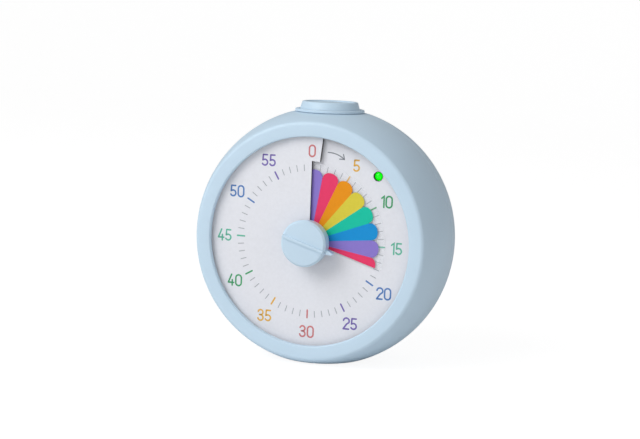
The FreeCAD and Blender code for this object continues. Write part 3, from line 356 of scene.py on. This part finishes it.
# Shader maths written as expressions
class Wire:
    """A shader socket that takes part in expressions; each operator adds its Math node."""

    def __init__(self, tree, socket):
        self.tree = tree
        self.socket = socket

    def maths(self, operation, first, second):
        node = self.tree.nodes.new("ShaderNodeMath")
        node.operation = operation
        for slot, value in enumerate((first, second)):
            if isinstance(value, Wire):
                self.tree.links.new(value.socket, node.inputs[slot])
            else:
                node.inputs[slot].default_value = value
        return Wire(self.tree, node.outputs[0])

    def __add__(self, other):
        return self.maths("ADD", self, other)

    def __radd__(self, other):
        return self.maths("ADD", other, self)

    def __mul__(self, other):
        return self.maths("MULTIPLY", self, other)

    def __rmul__(self, other):
        return self.maths("MULTIPLY", other, self)


class Finish:
    """One material and the nodes that are added to it."""

    def __init__(self, name):
        self.material = bpy.data.materials.new(name)
        self.material.use_nodes = True
        self.tree = self.material.node_tree
        self.shader = self.tree.nodes["Principled BSDF"]
        self.output = self.tree.nodes["Material Output"]

    def node(self, kind, settings=None, output=0, **values):
        """Add any node: its settings first, then the values or links of its sockets, each
        named, or written n and its number where names repeat."""
        node = self.tree.nodes.new(kind)
        for key, value in (settings or {}).items():
            setattr(node, key, value)
        for key, value in values.items():
            counted = key[0] == "n" and key[1:].isdigit()
            socket = node.inputs[int(key[1:])] if counted else node.inputs[key.replace("_", " ")]
            if isinstance(value, Wire):
                self.tree.links.new(value.socket, socket)
            else:
                socket.default_value = value
        return Wire(self.tree, node.outputs[output])

    def place(self):
        return self.node("ShaderNodeTexCoord", output=3)

    def noise(self, scale, detail=2.0, roughness=0.5):
        return self.node("ShaderNodeTexNoise", Vector=self.place(), Scale=scale, Detail=detail,
                         Roughness=roughness)

    def mix(self, factor, first, second):
        return self.node("ShaderNodeMix", {"data_type": "RGBA"}, 2, n0=factor, n6=first, n7=second)

    def feed(self, **values):
        for key, value in values.items():
            socket = self.shader.inputs[key.replace("_", " ")]
            if isinstance(value, Wire):
                self.tree.links.new(value.socket, socket)
            else:
                socket.default_value = value
        return self

    def bump(self, height, strength, distance):
        normal = self.node("ShaderNodeBump", Height=height, Strength=strength, Distance=distance)
        return self.feed(Normal=normal)


def tinted(rgb, factor=1.0):
    return tuple(min(1.0, c * factor) for c in rgb) + (1.0,)


def moulded(name, rgb, roughness=0.42):
    """Fine spark-eroded moulding: a close grain, a slow drift of tone and of roughness."""
    finish = Finish(name)
    drift = finish.noise(45.0, 3.0)
    grain_field = finish.noise(3200.0, 2.0, 0.6)
    finish.feed(Base_Color=finish.mix(drift, tinted(rgb, 0.975), tinted(rgb, 1.02)),
                Roughness=roughness - 0.05 + drift * 0.08 + grain_field * 0.03)
    finish.feed(Specular_IOR_Level=0.45)
    return finish.bump(grain_field, 0.35, 0.02 * MM).material


def printed(name, rgb, roughness=0.5, gloss=0.3):
    """Screen ink: faintly uneven cover over a matt sheet."""
    finish = Finish(name)
    cover = finish.noise(900.0, 4.0)
    finish.feed(Base_Color=finish.mix(cover, tinted(rgb, 0.95), tinted(rgb, 1.04)),
                Roughness=roughness + cover * 0.08)
    finish.feed(Specular_IOR_Level=gloss)
    return finish.bump(cover, 0.1, 0.01 * MM).material


def metal(name, rgb, roughness=0.3):
    """Plated or drawn metal: fine lines along one direction."""
    finish = Finish(name)
    lines = finish.node("ShaderNodeMapping", Vector=finish.place(), Scale=(30.0, 1.0, 1.0))
    field = finish.node("ShaderNodeTexNoise", Vector=lines, Scale=180.0, Detail=3.0)
    finish.feed(Base_Color=finish.mix(field, tinted(rgb, 0.88), tinted(rgb, 1.06)),
                Roughness=roughness + field * 0.15)
    finish.feed(Metallic=1.0)
    return finish.bump(field, 0.15, 0.01 * MM).material


def clear_sheet(name, rgb):
    """Clear film: nearly all light passes, with a soft gloss on top."""
    finish = Finish(name)
    haze = finish.noise(260.0, 2.0)
    finish.feed(Base_Color=finish.mix(haze, tinted(rgb, 0.97), tinted(rgb, 1.0)),
                Roughness=0.12 + haze * 0.06, Alpha=0.05 + haze * 0.05)
    return finish.material


def lit_lens(name, rgb):
    """Diffused lamp lens that glows, its tone and glow varying a little at random."""
    finish = Finish(name)
    field = finish.noise(900.0, 1.0)
    finish.feed(Base_Color=finish.mix(field, tinted(rgb, 0.8), tinted(rgb, 1.0)),
                Emission_Color=finish.mix(field, tinted(rgb, 0.9), tinted(rgb, 1.0)),
                Roughness=0.25 + field * 0.05)
    finish.feed(Emission_Strength=0.75)
    return finish.material


# Digits as strokes in a box one unit high
DIGIT_WIDTH = 0.545
DIGIT_GAP = 0.183
ONE_WIDTH = 0.34


def digit_paths(digit):
    """Strokes of a plain condensed digit: round stretches are arcs, the rest lines."""
    half = DIGIT_WIDTH / 2
    if digit == "0":
        top = arc((half, 1 - half), half, 0, 180, 14)
        bottom = arc((half, half), half, 180, 360, 14)
        return [(np.concatenate([top, bottom]), True)]
    if digit == "1":
        return [(np.array([(0.10, 0.80), (0.32, 0.985), (0.32, 0.5), (0.32, 0.0)]), False)]
    if digit == "2":
        bowl = arc((half, 1 - half), half, 172, -28, 14)
        sweep = np.array([(0.30, 0.44), (0.02, 0.03)])
        foot = np.array([(0.0, 0.0), (0.25, 0.0), (0.5, 0.0)])
        return [(np.concatenate([bowl, sweep]), False), (foot, False)]
    if digit == "3":
        upper = arc((0.24, 0.755), 0.235, 165, -88, 14)
        lower = arc((0.24, 0.262), 0.258, 88, -168, 14)
        return [(upper, False), (lower, False), (np.array([(0.14, 0.52), (0.19, 0.52), (0.25, 0.52)]), False)]
    if digit == "4":
        return [(np.array([(0.30, 1.0), (0.15, 0.62), (0.0, 0.26)]), False),
                (np.array([(0.0, 0.25), (0.26, 0.25), (0.52, 0.25)]), False),
                (np.array([(0.38, 0.5), (0.38, 0.25), (0.38, 0.0)]), False)]
    bowl = arc((0.235, 0.30), 0.262, 118, -150, 16)
    return [(np.array([(0.46, 0.99), (0.25, 0.99), (0.07, 0.99)]), False),
            (np.array([(0.07, 0.99), (0.055, 0.75), (0.04, 0.50)]), False),
            (np.concatenate([np.array([(0.04, 0.50)]), bowl]), False)]


def number_strokes(name, text, centre, height, stroke):
    """A printed number: its digits side by side about a centre in the dial's plane."""
    widths = [ONE_WIDTH if digit == "1" else DIGIT_WIDTH for digit in text]
    total = sum(widths) + DIGIT_GAP * (len(text) - 1)
    places = [sum(widths[:index]) + DIGIT_GAP * index for index in range(len(text))]
    parts = []
    for index, digit in enumerate(text):
        origin = np.array([centre[0] + (places[index] - total / 2) * height, centre[1] - height / 2])
        for order, (path, closed) in enumerate(digit_paths(digit)):
            parts.append(ribbon("%s_%d_%d" % (name, index, order), origin + path * height, stroke,
                                closed=closed))
    return join(name, parts)


# Named finishes, made once when first asked for
finishes = {}


def finish_of(key):
    if key not in finishes:
        tones = bpy.context.scene.timer_colours
        made = {
            "casing": lambda: moulded("moulded_casing", tones.casing),
            "dial": lambda: printed("dial_sheet", tones.dial, 0.48),
            "inner_white": lambda: moulded("inner_moulding", (0.80, 0.80, 0.78), 0.5),
            # Black moulding of the inside pieces, also used for the painted shade in the slit and the lamp's
            # hole.
            "inner_black": lambda: moulded("black_moulding", (0.03, 0.03, 0.034), 0.45),
            "gear": lambda: moulded("wheel_plastic", (0.80, 0.77, 0.66), 0.38),
            "board": lambda: moulded("board_mask", (0.02, 0.16, 0.06), 0.35),
            "steel": lambda: metal("plated_steel", (0.62, 0.62, 0.63)),
            "brass": lambda: metal("plain_brass", (0.72, 0.52, 0.22)),
            "copper": lambda: metal("enamelled_wire", (0.62, 0.25, 0.11)),
            "cell": lambda: metal("cell_can", (0.50, 0.53, 0.56), 0.35),
            "clear": lambda: clear_sheet("clear_film", (0.93, 0.95, 0.98)),
            "lamp": lambda: lit_lens("lamp_lens", (0.0, 1.0, 0.0)),
            "grey_ink": lambda: printed("grey_ink", (0.40, 0.42, 0.46)),
            "arrow_ink": lambda: printed("arrow_ink", (0.25, 0.27, 0.30)),
        }
        finishes[key] = made[key]()
    return finishes[key]


def shell_outline(ring_side):
    """Outer line of one shell as (radius, place), from the seam to the end face: the barrel
    is a zone of a sphere, and a fillet joins it to the flat end."""
    fillet = bpy.context.scene.timer_sizes.rim_round
    sign = 1 if ring_side else -1
    reach = HALF_DEPTH - fillet
    hub = math.sqrt((CASING_RADIUS - fillet) ** 2 - reach ** 2)
    lean = math.degrees(math.atan2(reach, hub))
    seam_angle = math.degrees(math.asin(SEAM / CASING_RADIUS)) * sign
    barrel = arc((0, 0), CASING_RADIUS, -seam_angle, lean, 26)
    corner = arc((hub, reach), fillet, lean, 90, 9)[1:]
    groove = 0.25 * MM
    start = (barrel[0, 0] - groove, barrel[0, 1])
    barrel[0] += (-0.02 * MM, groove)
    return np.concatenate([[start], barrel, corner]) * (1, -sign)


def flats(points, inset):
    """Limit each ring of the barrel to the base flat and the flat under the button:
    radius' = (radius^-p + limit^-p)^(-1/p), the limit being flat / |cos t|."""
    steps = 360
    power = 160.0
    turn = np.linspace(0, 2 * np.pi, steps, endpoint=False)
    cosine = np.cos(turn)
    low = AXIS - inset[:, None]
    high = TOP_FLAT - inset[:, None]
    limit = np.where(cosine < 0, low, high) / np.maximum(np.abs(cosine), 0.2)
    radius = points[:, 0, None]
    radius = radius * (1 + (radius / limit) ** power) ** (-1 / power)
    return np.stack([radius * np.sin(turn), points[:, 1, None] + 0 * turn, radius * np.cos(turn) + AXIS], -1)


def shell_piece(name, ring_side):
    """Closed wall of a shell: outer barrel, rounding, end face, and the inner barrel a wall
    further in. The front one's end is the ring round its window."""
    sizes = bpy.context.scene.timer_sizes
    sign = 1 if ring_side else -1
    end = -sign * HALF_DEPTH
    points = shell_outline(ring_side).tolist()
    outer_count = len(points)
    if ring_side:
        ring_wall = 1.7 * MM
        edge = 0.5 * MM
        bevel_steps = 6
        under = end + ring_wall
        points += arc((sizes.window + edge, end + edge), edge, 270, 180, bevel_steps).tolist()
        points.append((sizes.window, under))
        flat_count = bevel_steps + 1
    else:
        under = end - sizes.wall
        points += [(0.0, end), (0.0, under)]
        flat_count = 0
    inner_ball = CASING_RADIUS - sizes.wall
    lean = math.degrees(math.asin(abs(under) / inner_ball))
    seam_angle = math.degrees(math.asin(SEAM / inner_ball)) * sign
    points += (arc((0, 0), inner_ball, lean, -seam_angle, 16) * (1, -sign)).tolist()
    inset = np.full(len(points), sizes.wall)
    inset[:outer_count + flat_count] = 0
    grid = flats(np.array(points, float), inset)
    faces = grid_faces(grid.shape[0], grid.shape[1], True, True).tolist()
    return tidy(mesh_piece(name, grid, faces), 28)


class TIMER_OT_casing(bpy.types.Operator):
    """Front and rear shells with their openings"""
    bl_idname = "timer.casing"
    bl_label = "Casing"

    def execute(self, context):
        front = shell_piece("front_skin", True)
        rear = shell_piece("rear_skin", False)
        foot, head = AXIS + 38 * MM, AXIS + 48 * MM
        profile = [(0, foot), (BUTTON_HOLE, foot), (BUTTON_HOLE, head), (0, head)]
        for shell in (front, rear):
            carve(shell, [revolve("button_column", profile, 96, "up", (0, BUTTON_Y))])
        cutters = self.door_room() + [self.switch_slot()] + self.wells() + self.sound_holes()
        carve(rear, [join("rear_cutters", cutters)])
        dress(front, "casing", finish_of("casing"), ("front_shell",))
        dress(rear, "casing", finish_of("casing"), ("rear_shell",))
        return {"FINISHED"}

    def door_room(self):
        """Pocket of the battery door, and the mouth of the bay inside its rim."""
        low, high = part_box("battery_door")
        pin, gap, rim, floor = 0.8 * MM, 0.2 * MM, 1.4 * MM, 3 * MM
        side = high.x - pin
        back = HALF_DEPTH + OVER
        return [box_piece("door_pocket", (-side - gap, low.y, low.z - gap), (side + gap, back, high.z + gap)),
                box_piece("bay_mouth", (-side + rim, low.y - floor, low.z + rim),
                          (side - rim, back, high.z - rim))]

    def switch_slot(self):
        middle = middle_of("switch_slider")
        half_width, half_height = 4.6 * MM, 1.8 * MM
        return box_piece("switch_slot", (middle.x - half_width, HALF_DEPTH - THROUGH, middle.z - half_height),
                         (middle.x + half_width, HALF_DEPTH + OVER, middle.z + half_height))

    def wells(self):
        return [bore("screw_well", (x, AXIS + z), WELL_RADIUS, HALF_DEPTH - WELL_DEPTH, HALF_DEPTH + OVER, 48)
                for x, z in WELL_PLACES]

    def sound_holes(self):
        """One hole in the middle and two rings round it, over the buzzer."""
        middle = middle_of("buzzer")
        pitch, radius = 2.6 * MM, 0.8 * MM
        holes = []
        for ring, count in enumerate((1, 6, 12)):
            for turn in np.linspace(0, 2 * math.pi, count, endpoint=False):
                spot = (middle.x + ring * pitch * math.sin(turn), middle.z + ring * pitch * math.cos(turn))
                holes.append(bore("sound_hole", spot, radius, HALF_DEPTH - THROUGH, HALF_DEPTH + OVER, 20))
        return holes


class TIMER_OT_button(bpy.types.Operator):
    """Collar and top button"""
    bl_idname = "timer.button"
    bl_label = "Button"

    def execute(self, context):
        sleeve = BUTTON_HOLE - 0.1 * MM
        bore_radius = sleeve - 0.6 * MM
        collar = revolve("collar_ring", self.collar_profile(sleeve, bore_radius), 128, "up", (0, BUTTON_Y))
        dress(collar, "casing", finish_of("casing"), ("button_collar",))
        cap = revolve("button_cap", self.cap_profile(bore_radius - RUN_GAP), 128, "up", (0, BUTTON_Y))
        dress(cap, "button", finish_of("casing"), ("top_button",))
        return {"FINISHED"}

    def collar_profile(self, sleeve, bore_radius):
        """Sleeve through the casing and a rounded ring on the flat, as (radius, height)."""
        low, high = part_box("button_collar")
        flat = AXIS + TOP_FLAT - 0.05 * MM
        edge = 0.3 * MM
        inner_edge = 0.2 * MM
        lip = arc((high.x - edge, high.z - edge), edge, 0, 90, 7).tolist()
        inner_lip = arc((bore_radius + inner_edge, high.z - inner_edge), inner_edge, 90, 180, 5).tolist()
        return [(bore_radius, low.z), (sleeve, low.z), (sleeve, flat), (high.x, flat)] + lip + inner_lip

    def cap_profile(self, foot):
        """Cap with a shallow dish inside a rounded rim, a flange below and a post in its
        middle. The dish's height is crown - dish * (0.9 + 0.1 * (r / edge) ^ 2)."""
        low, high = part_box("top_button")
        collar_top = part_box("button_collar")[1].z
        rim = foot - 0.65 * MM
        crown = high.z
        round_off = 0.6 * MM
        dish = 0.45 * MM
        dish_edge = 8.2 * MM
        radius = np.array([0.0, 2.0, 4.0, 6.0, 7.8]) * MM
        floor = np.stack([radius, crown - dish * (0.9 + 0.1 * (radius / dish_edge) ** 2)], 1).tolist()
        rise = [(rim - 1.6 * MM, crown - dish), (rim - 1.4 * MM, crown - 0.1 * MM), (rim - 1.25 * MM, crown)]
        shoulder = arc((rim - round_off, crown - round_off), round_off, 90, 5, 9).tolist()
        side = [(foot - 0.15 * MM, collar_top + 0.4 * MM), (foot, collar_top)]
        flange = low.z + 1.4 * MM
        skirt = foot - 1.4 * MM
        post = 2.0 * MM
        under = crown - 2.1 * MM
        plunger = AXIS + TOP_FLAT - WALL
        return floor + rise + shoulder + side + [
            (foot, flange), (BUTTON_HOLE, flange), (BUTTON_HOLE, low.z), (skirt, low.z), (skirt, under),
            (post, under), (post, plunger), (0, plunger)]


class TIMER_OT_dial(bpy.types.Operator):
    """Screw-shaped dial sheet with its stepped slit and lamp hole, and painted shade on the slit's cut ends
    """
    bl_idname = "timer.dial"
    bl_label = "Dial"

    def execute(self, context):
        back = DIAL_FRONT + DIAL_SHEET
        last = 360 + SLIT_STEP
        inner = screw_sheet("dial_inner", DIAL_BORE, SLIT_RADIUS, 0, 360, DIAL_FRONT, back, 8, 361)
        outer = screw_sheet("dial_outer", SLIT_RADIUS, DIAL_RADIUS, SLIT_STEP, last, DIAL_FRONT, back, 6, 361)
        lamp_place = (LAMP_X, AXIS + LAMP_Z)
        behind = DIAL_FRONT + 3 * MM
        hole = bore("lamp_bore", lamp_place, LAMP_HOLE, DIAL_FRONT - THROUGH, behind, 48)
        carve(outer, [hole])
        sheet = join("dial_face", [inner, outer])
        dress(sheet, "casing", finish_of("dial"), ("dial_plate",))
        # Dark strips on the slit's two cut ends are painted shade of the gap under the step; the sheet itself
        # is white.
        margin = 0.4 * MM
        edges = [slit_edge("slit_inner_edge", DIAL_BORE, SLIT_RADIUS, 360),
                 slit_edge("slit_outer_edge", SLIT_RADIUS, DIAL_RADIUS - margin, last)]
        dress(join("slit_edges", edges), "casing", finish_of("inner_black"))
        return {"FINISHED"}


# Strokes of the print, and its inks
BOLD = 0.55 * MM
FINE = 0.27 * MM
PEN = 0.38 * MM
INKS = {"red": (0.60, 0.19, 0.20), "amber": (0.77, 0.44, 0.07), "green": (0.06, 0.36, 0.15),
        "teal": (0.13, 0.50, 0.36), "blue": (0.09, 0.22, 0.52), "violet": (0.19, 0.14, 0.44)}


def ink_at(minute):
    """The six inks follow each other every five minutes."""
    return list(INKS)[minute // 5 % len(INKS)]


class TIMER_OT_print(bpy.types.Operator):
    """Minute marks, numbers and the direction arrow"""
    bl_idname = "timer.print"
    bl_label = "Print"

    def execute(self, context):
        marks = {ink: [] for ink in INKS}
        minor = []
        for minute in range(1, 60):
            if minute % 5 == 0:
                marks[ink_at(minute)].append(self.tick(minute, 0.0, 0.0, BOLD))
            else:
                minor.append(self.tick(minute, 0.5 * MM, 0.4 * MM, FINE))
        for minute in range(0, 60, 5):
            marks[ink_at(minute)].append(self.number(minute))
        for ink, parts in marks.items():
            dress(join("marks_" + ink, parts), "casing", printed("ink_" + ink, INKS[ink]))
        dress(join("marks_minor", minor), "casing", finish_of("grey_ink"))
        dress(self.arrow(), "casing", finish_of("arrow_ink"))
        return {"FINISHED"}

    def tick(self, minute, shorter_inside, shorter_outside, width):
        sizes = bpy.context.scene.timer_sizes
        turn = math.radians(6 * minute)
        start = sizes.tick_inner + shorter_inside + width / 2
        end = sizes.tick_outer - shorter_outside - width / 2
        reach = np.linspace(start, end, 4)[:, None]
        return ribbon("tick_%02d" % minute, reach * [[math.sin(turn), math.cos(turn)]], width, caps=3)

    def number(self, minute):
        sizes = bpy.context.scene.timer_sizes
        turn = math.radians(6 * minute)
        nudge = -0.5 * MM if minute in (10, 15) else 0.0
        drop = 0.15 * MM
        centre = (sizes.numeral_ring * math.sin(turn) + nudge, sizes.numeral_ring * math.cos(turn) - drop)
        return number_strokes("number_%02d" % minute, str(minute), centre, sizes.numeral_height, BOLD)

    def arrow(self):
        """Bowed shaft between zero and five, its radius 31.0 - 0.2 t + 0.42 (1 - t ^ 2) mm
        for t from -1 to 1, and two barbs at its tip."""
        steps = 16
        barb = 1.75 * MM
        sweep = np.radians(np.linspace(9.6, 21.2, steps))
        share = np.linspace(-1, 1, steps)
        reach = (31.0 - 0.2 * share + 0.42 * (1 - share ** 2)) * MM
        path = np.stack([reach * np.sin(sweep), reach * np.cos(sweep)], 1)
        heading = math.atan2(*(path[-1] - path[-2])[::-1])
        parts = [ribbon("arrow_shaft", path, PEN)]
        for side in (143, -143):
            lean = heading + math.radians(side)
            end = path[-1] + barb * np.array([math.cos(lean), math.sin(lean)])
            parts.append(ribbon("arrow_barb", np.linspace(path[-1], end, 4), PEN))
        return join("arrow", parts)


class TIMER_OT_disc(bpy.types.Operator):
    """Clear disc and its printed petals"""
    bl_idname = "timer.disc"
    bl_label = "Disc"

    def execute(self, context):
        back = DIAL_FRONT - RUN_GAP
        front = back - DISC_SHEET
        film = screw_sheet("clear_film", HUB_RADIUS, DISC_RADIUS, LEAD - 360, LEAD, front, back, 6, 361)
        dress(film, "disc", finish_of("clear"), ("colour_disc",))
        tones = ("pink", "purple", "blue", "teal", "yellow", "orange")
        step = 15.0
        groups = {tone: [] for tone in tones}
        for index in range(25):
            petal = self.petal("petal_%02d" % index, LEAD - index * step, step, front - PRINT_LIFT)
            groups[tones[index % len(tones)]].append(petal)
        for tone, parts in groups.items():
            material = printed("petal_" + tone, getattr(context.scene.timer_colours, tone), 0.42, 0.15)
            dress(join("petals_" + tone, parts), "disc", material)
        return {"FINISHED"}

    def petal(self, name, centre, step, front):
        """Printed sector whose outer edge is rounded: tip - 2.5 (1 - (1 - u ^ 2.2) ^ 0.5) mm,
        u from 0 at its middle to 1 at its sides. The disc's two ends cut a petal in half."""
        tip = bpy.context.scene.timer_sizes.petal_tip
        rounding = 2.5 * MM
        start = HUB_RADIUS + 0.2 * MM
        back = front + 0.02 * MM
        turn = np.linspace(max(LEAD - 360, centre - step / 2), min(LEAD, centre + step / 2), 21)
        aside = np.abs(turn - centre) / (step / 2)
        outer = tip - rounding * (1 - np.sqrt(np.clip(1 - aside ** 2.2, 0, 1)))
        return screw_sheet(name, start, outer, turn[0], turn[-1], front, back, 10, len(turn))


class TIMER_OT_knob(bpy.types.Operator):
    """Setting knob with its grip fin and pointer"""
    bl_idname = "timer.knob"
    bl_label = "Knob"

    def execute(self, context):
        knob = copy_of_node("knob_form", "knob", 25)
        bevel = knob.modifiers.new("edges", "BEVEL")
        bevel.width = 0.25 * MM
        bevel.segments = 3
        bevel.limit_method = "ANGLE"
        bevel.angle_limit = math.radians(35)
        dress(knob, "knob", finish_of("casing"), ("knob",))
        return {"FINISHED"}


class TIMER_OT_lamp(bpy.types.Operator):
    """Green lamp in its hole, the hole lined in black as painted shade"""
    bl_idname = "timer.lamp"
    bl_label = "Lamp"

    def execute(self, context):
        low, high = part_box("lamp")
        place = (LAMP_X, AXIS + LAMP_Z)
        radius, bulge = 1.4 * MM, 0.9 * MM
        flange = high.x - LAMP_X
        shoulder = high.y - 1 * MM
        dome = arc((0, 0), 1.0, 270, 360, 12) * (radius, bulge) + (0, low.y + bulge)
        profile = dome.tolist() + [(radius, shoulder), (flange, shoulder), (flange, high.y), (0, high.y)]
        lens = revolve("lamp_lens", profile, 48, "depth", place)
        dress(lens, "casing", finish_of("lamp"), ("lamp",))
        # Black lining of the hole: painted shade of the hole's wall, not a part of its own.
        front = float(screw_front(LAMP_X, LAMP_Z, -0.05 * MM))
        inner, outer, back = 1.48 * MM, LAMP_HOLE - 0.02 * MM, front + 1.2 * MM
        painted_shade_liner = revolve("lamp_liner", [(inner, front), (outer, front), (outer, back), (inner, back)], 48,
                        "depth", place)
        dress(painted_shade_liner, "casing", finish_of("inner_black"))
        return {"FINISHED"}


SLOT_FINISHES = {"casing_blue": "casing", "knob_blue": "casing", "dial_white": "dial", "disc_clear": "clear",
                 "inner_white": "inner_white", "inner_black": "inner_black", "gear_plastic": "gear",
                 "board_green": "board", "steel": "steel", "brass": "brass", "copper": "copper",
                 "cell_case": "cell", "lamp_green": "lamp"}


class TIMER_OT_inside(bpy.types.Operator):
    """Finishes of the pieces inside and on the back"""
    bl_idname = "timer.inside"
    bl_label = "Inside and back"

    def execute(self, context):
        for part in frame["record"]["subparts"]:
            node = frame["nodes"][part["node"]]
            node.data.materials.clear()
            node.data.materials.append(finish_of(SLOT_FINISHES[part["material_slot"]]))
        return {"FINISHED"}


class TIMER_OT_stage(bpy.types.Operator):
    """Pale sweep, soft lights and the camera"""
    bl_idname = "timer.stage"
    bl_label = "Stage"

    def execute(self, context):
        self.floor()
        self.room(context)
        target = Vector((0, 0, 0.045))
        self.light(context, "key", Vector((-0.55, -0.75, 0.75)), target, 0.8, 8.8)
        self.light(context, "fill", Vector((0.9, -0.6, 0.35)), target, 0.9, 1.2)
        context.scene.view_settings.view_transform = "Standard"
        self.camera(context)
        return {"FINISHED"}

    def floor(self):
        """Pale sweep: flat below, then a quarter turn of sine and cosine up to a wall. The
        camera sees it close to white, and it keeps a trace of the shadow."""
        width = np.linspace(-3, 3, 7)
        bend = np.linspace(0.1, np.pi / 2, 12)
        run = np.concatenate([np.linspace(-2.5, 1.2, 8), 1.2 + 0.8 * np.sin(bend), np.full(4, 2.0)])
        rise = np.concatenate([np.zeros(8), 0.8 - 0.8 * np.cos(bend), np.linspace(1.2, 3.5, 4)])
        x, y = np.meshgrid(width, run, indexing="ij")
        z = np.broadcast_to(rise, x.shape)
        faces = grid_faces(len(width), len(run), False, False).tolist()
        floor = mesh_piece("sweep", np.stack([x, y, z], -1), faces)
        floor.data.shade_smooth()
        paper = Finish("sweep_paper")
        ray = paper.node("ShaderNodeLightPath")
        glow = paper.node("ShaderNodeEmission", Color=(1, 1, 1, 1), Strength=1.14)
        paper.feed(Base_Color=(0.9, 0.9, 0.9, 1), Roughness=0.9)
        surface = Wire(paper.tree, paper.shader.outputs[0])
        mixed = paper.node("ShaderNodeMixShader", n0=ray * 0.8, n1=surface, n2=glow)
        paper.tree.links.new(mixed.socket, paper.output.inputs["Surface"])
        floor.data.materials.append(paper.material)

    def room(self, context):
        world = context.scene.world or bpy.data.worlds.new("soft_room")
        context.scene.world = world
        world.use_nodes = True
        background = world.node_tree.nodes["Background"]
        background.inputs["Color"].default_value = (1, 1, 1, 1)
        background.inputs["Strength"].default_value = 0.36

    def light(self, context, name, place, target, size, power):
        lamp = bpy.data.lights.new(name, "AREA")
        lamp.size = size
        lamp.energy = power
        holder = bpy.data.objects.new(name, lamp)
        context.scene.collection.objects.link(holder)
        holder.location = place
        holder.rotation_euler = (target - place).to_track_quat("-Z", "Y").to_euler()

    def camera(self, context):
        """The photograph's viewpoint: azimuth, height and roll about the dial's centre."""
        azimuth, height, roll = [math.radians(a) for a in (19.037, 7.264, 2.131)]
        distance = 0.5400
        focal = 1579.6
        centre_u, centre_v = 310.003, 241.239
        width, rows = 640, 439
        sensor = 36
        back = Vector((math.sin(azimuth) * math.cos(height), -math.cos(azimuth) * math.cos(height),
                       math.sin(height)))
        right = Vector((math.cos(azimuth), math.sin(azimuth), 0))
        up = back.cross(right)
        right, up = (right * math.cos(roll) + up * math.sin(roll),
                     up * math.cos(roll) - right * math.sin(roll))
        target = Vector((0, -16.5 * MM, AXIS))
        shift_x = (centre_u - width / 2) / focal * distance
        shift_y = -(centre_v - rows / 2) / focal * distance
        place = target + back * distance - right * shift_x - up * shift_y
        camera = bpy.data.cameras.new("camera")
        camera.sensor_width = sensor
        camera.lens = focal / width * sensor
        camera.clip_start = 0.01
        holder = bpy.data.objects.new("camera", camera)
        context.scene.collection.objects.link(holder)
        turn = Matrix((right, up, back)).transposed().to_4x4()
        holder.matrix_world = Matrix.Translation(place) @ turn
        context.scene.camera = holder


class TIMER_PT_panel(bpy.types.Panel):
    """Lists the timer's sizes, colours and steps"""
    bl_label = "Countdown Timer"
    bl_idname = "TIMER_PT_panel"
    bl_space_type = "VIEW_3D"
    bl_region_type = "UI"
    bl_category = "Timer"

    def draw(self, context):
        for group in (context.scene.timer_sizes, context.scene.timer_colours):
            for key in group.bl_rna.properties.keys():
                if key not in ("rna_type", "name"):
                    self.layout.prop(group, key)
        for step in STEPS:
            self.layout.operator(step)


STEPS = ("timer.stage", "timer.inside", "timer.casing", "timer.button", "timer.dial", "timer.print",
         "timer.disc", "timer.knob", "timer.lamp")
CLASSES = (TimerSizes, TimerColours, TIMER_OT_stage, TIMER_OT_inside, TIMER_OT_casing, TIMER_OT_button,
           TIMER_OT_dial, TIMER_OT_print, TIMER_OT_disc, TIMER_OT_knob, TIMER_OT_lamp, TIMER_PT_panel)


def register():
    for group in CLASSES:
        bpy.utils.register_class(group)
    bpy.types.Scene.timer_sizes = PointerProperty(type=TimerSizes)
    bpy.types.Scene.timer_colours = PointerProperty(type=TimerColours)


def unregister():
    del bpy.types.Scene.timer_colours
    del bpy.types.Scene.timer_sizes
    for group in reversed(CLASSES):
        bpy.utils.unregister_class(group)


def main():
    register()
    for step in STEPS:
        family, name = step.split(".")
        getattr(getattr(bpy.ops, family), name)()


if __name__ == "__main__":
    main()
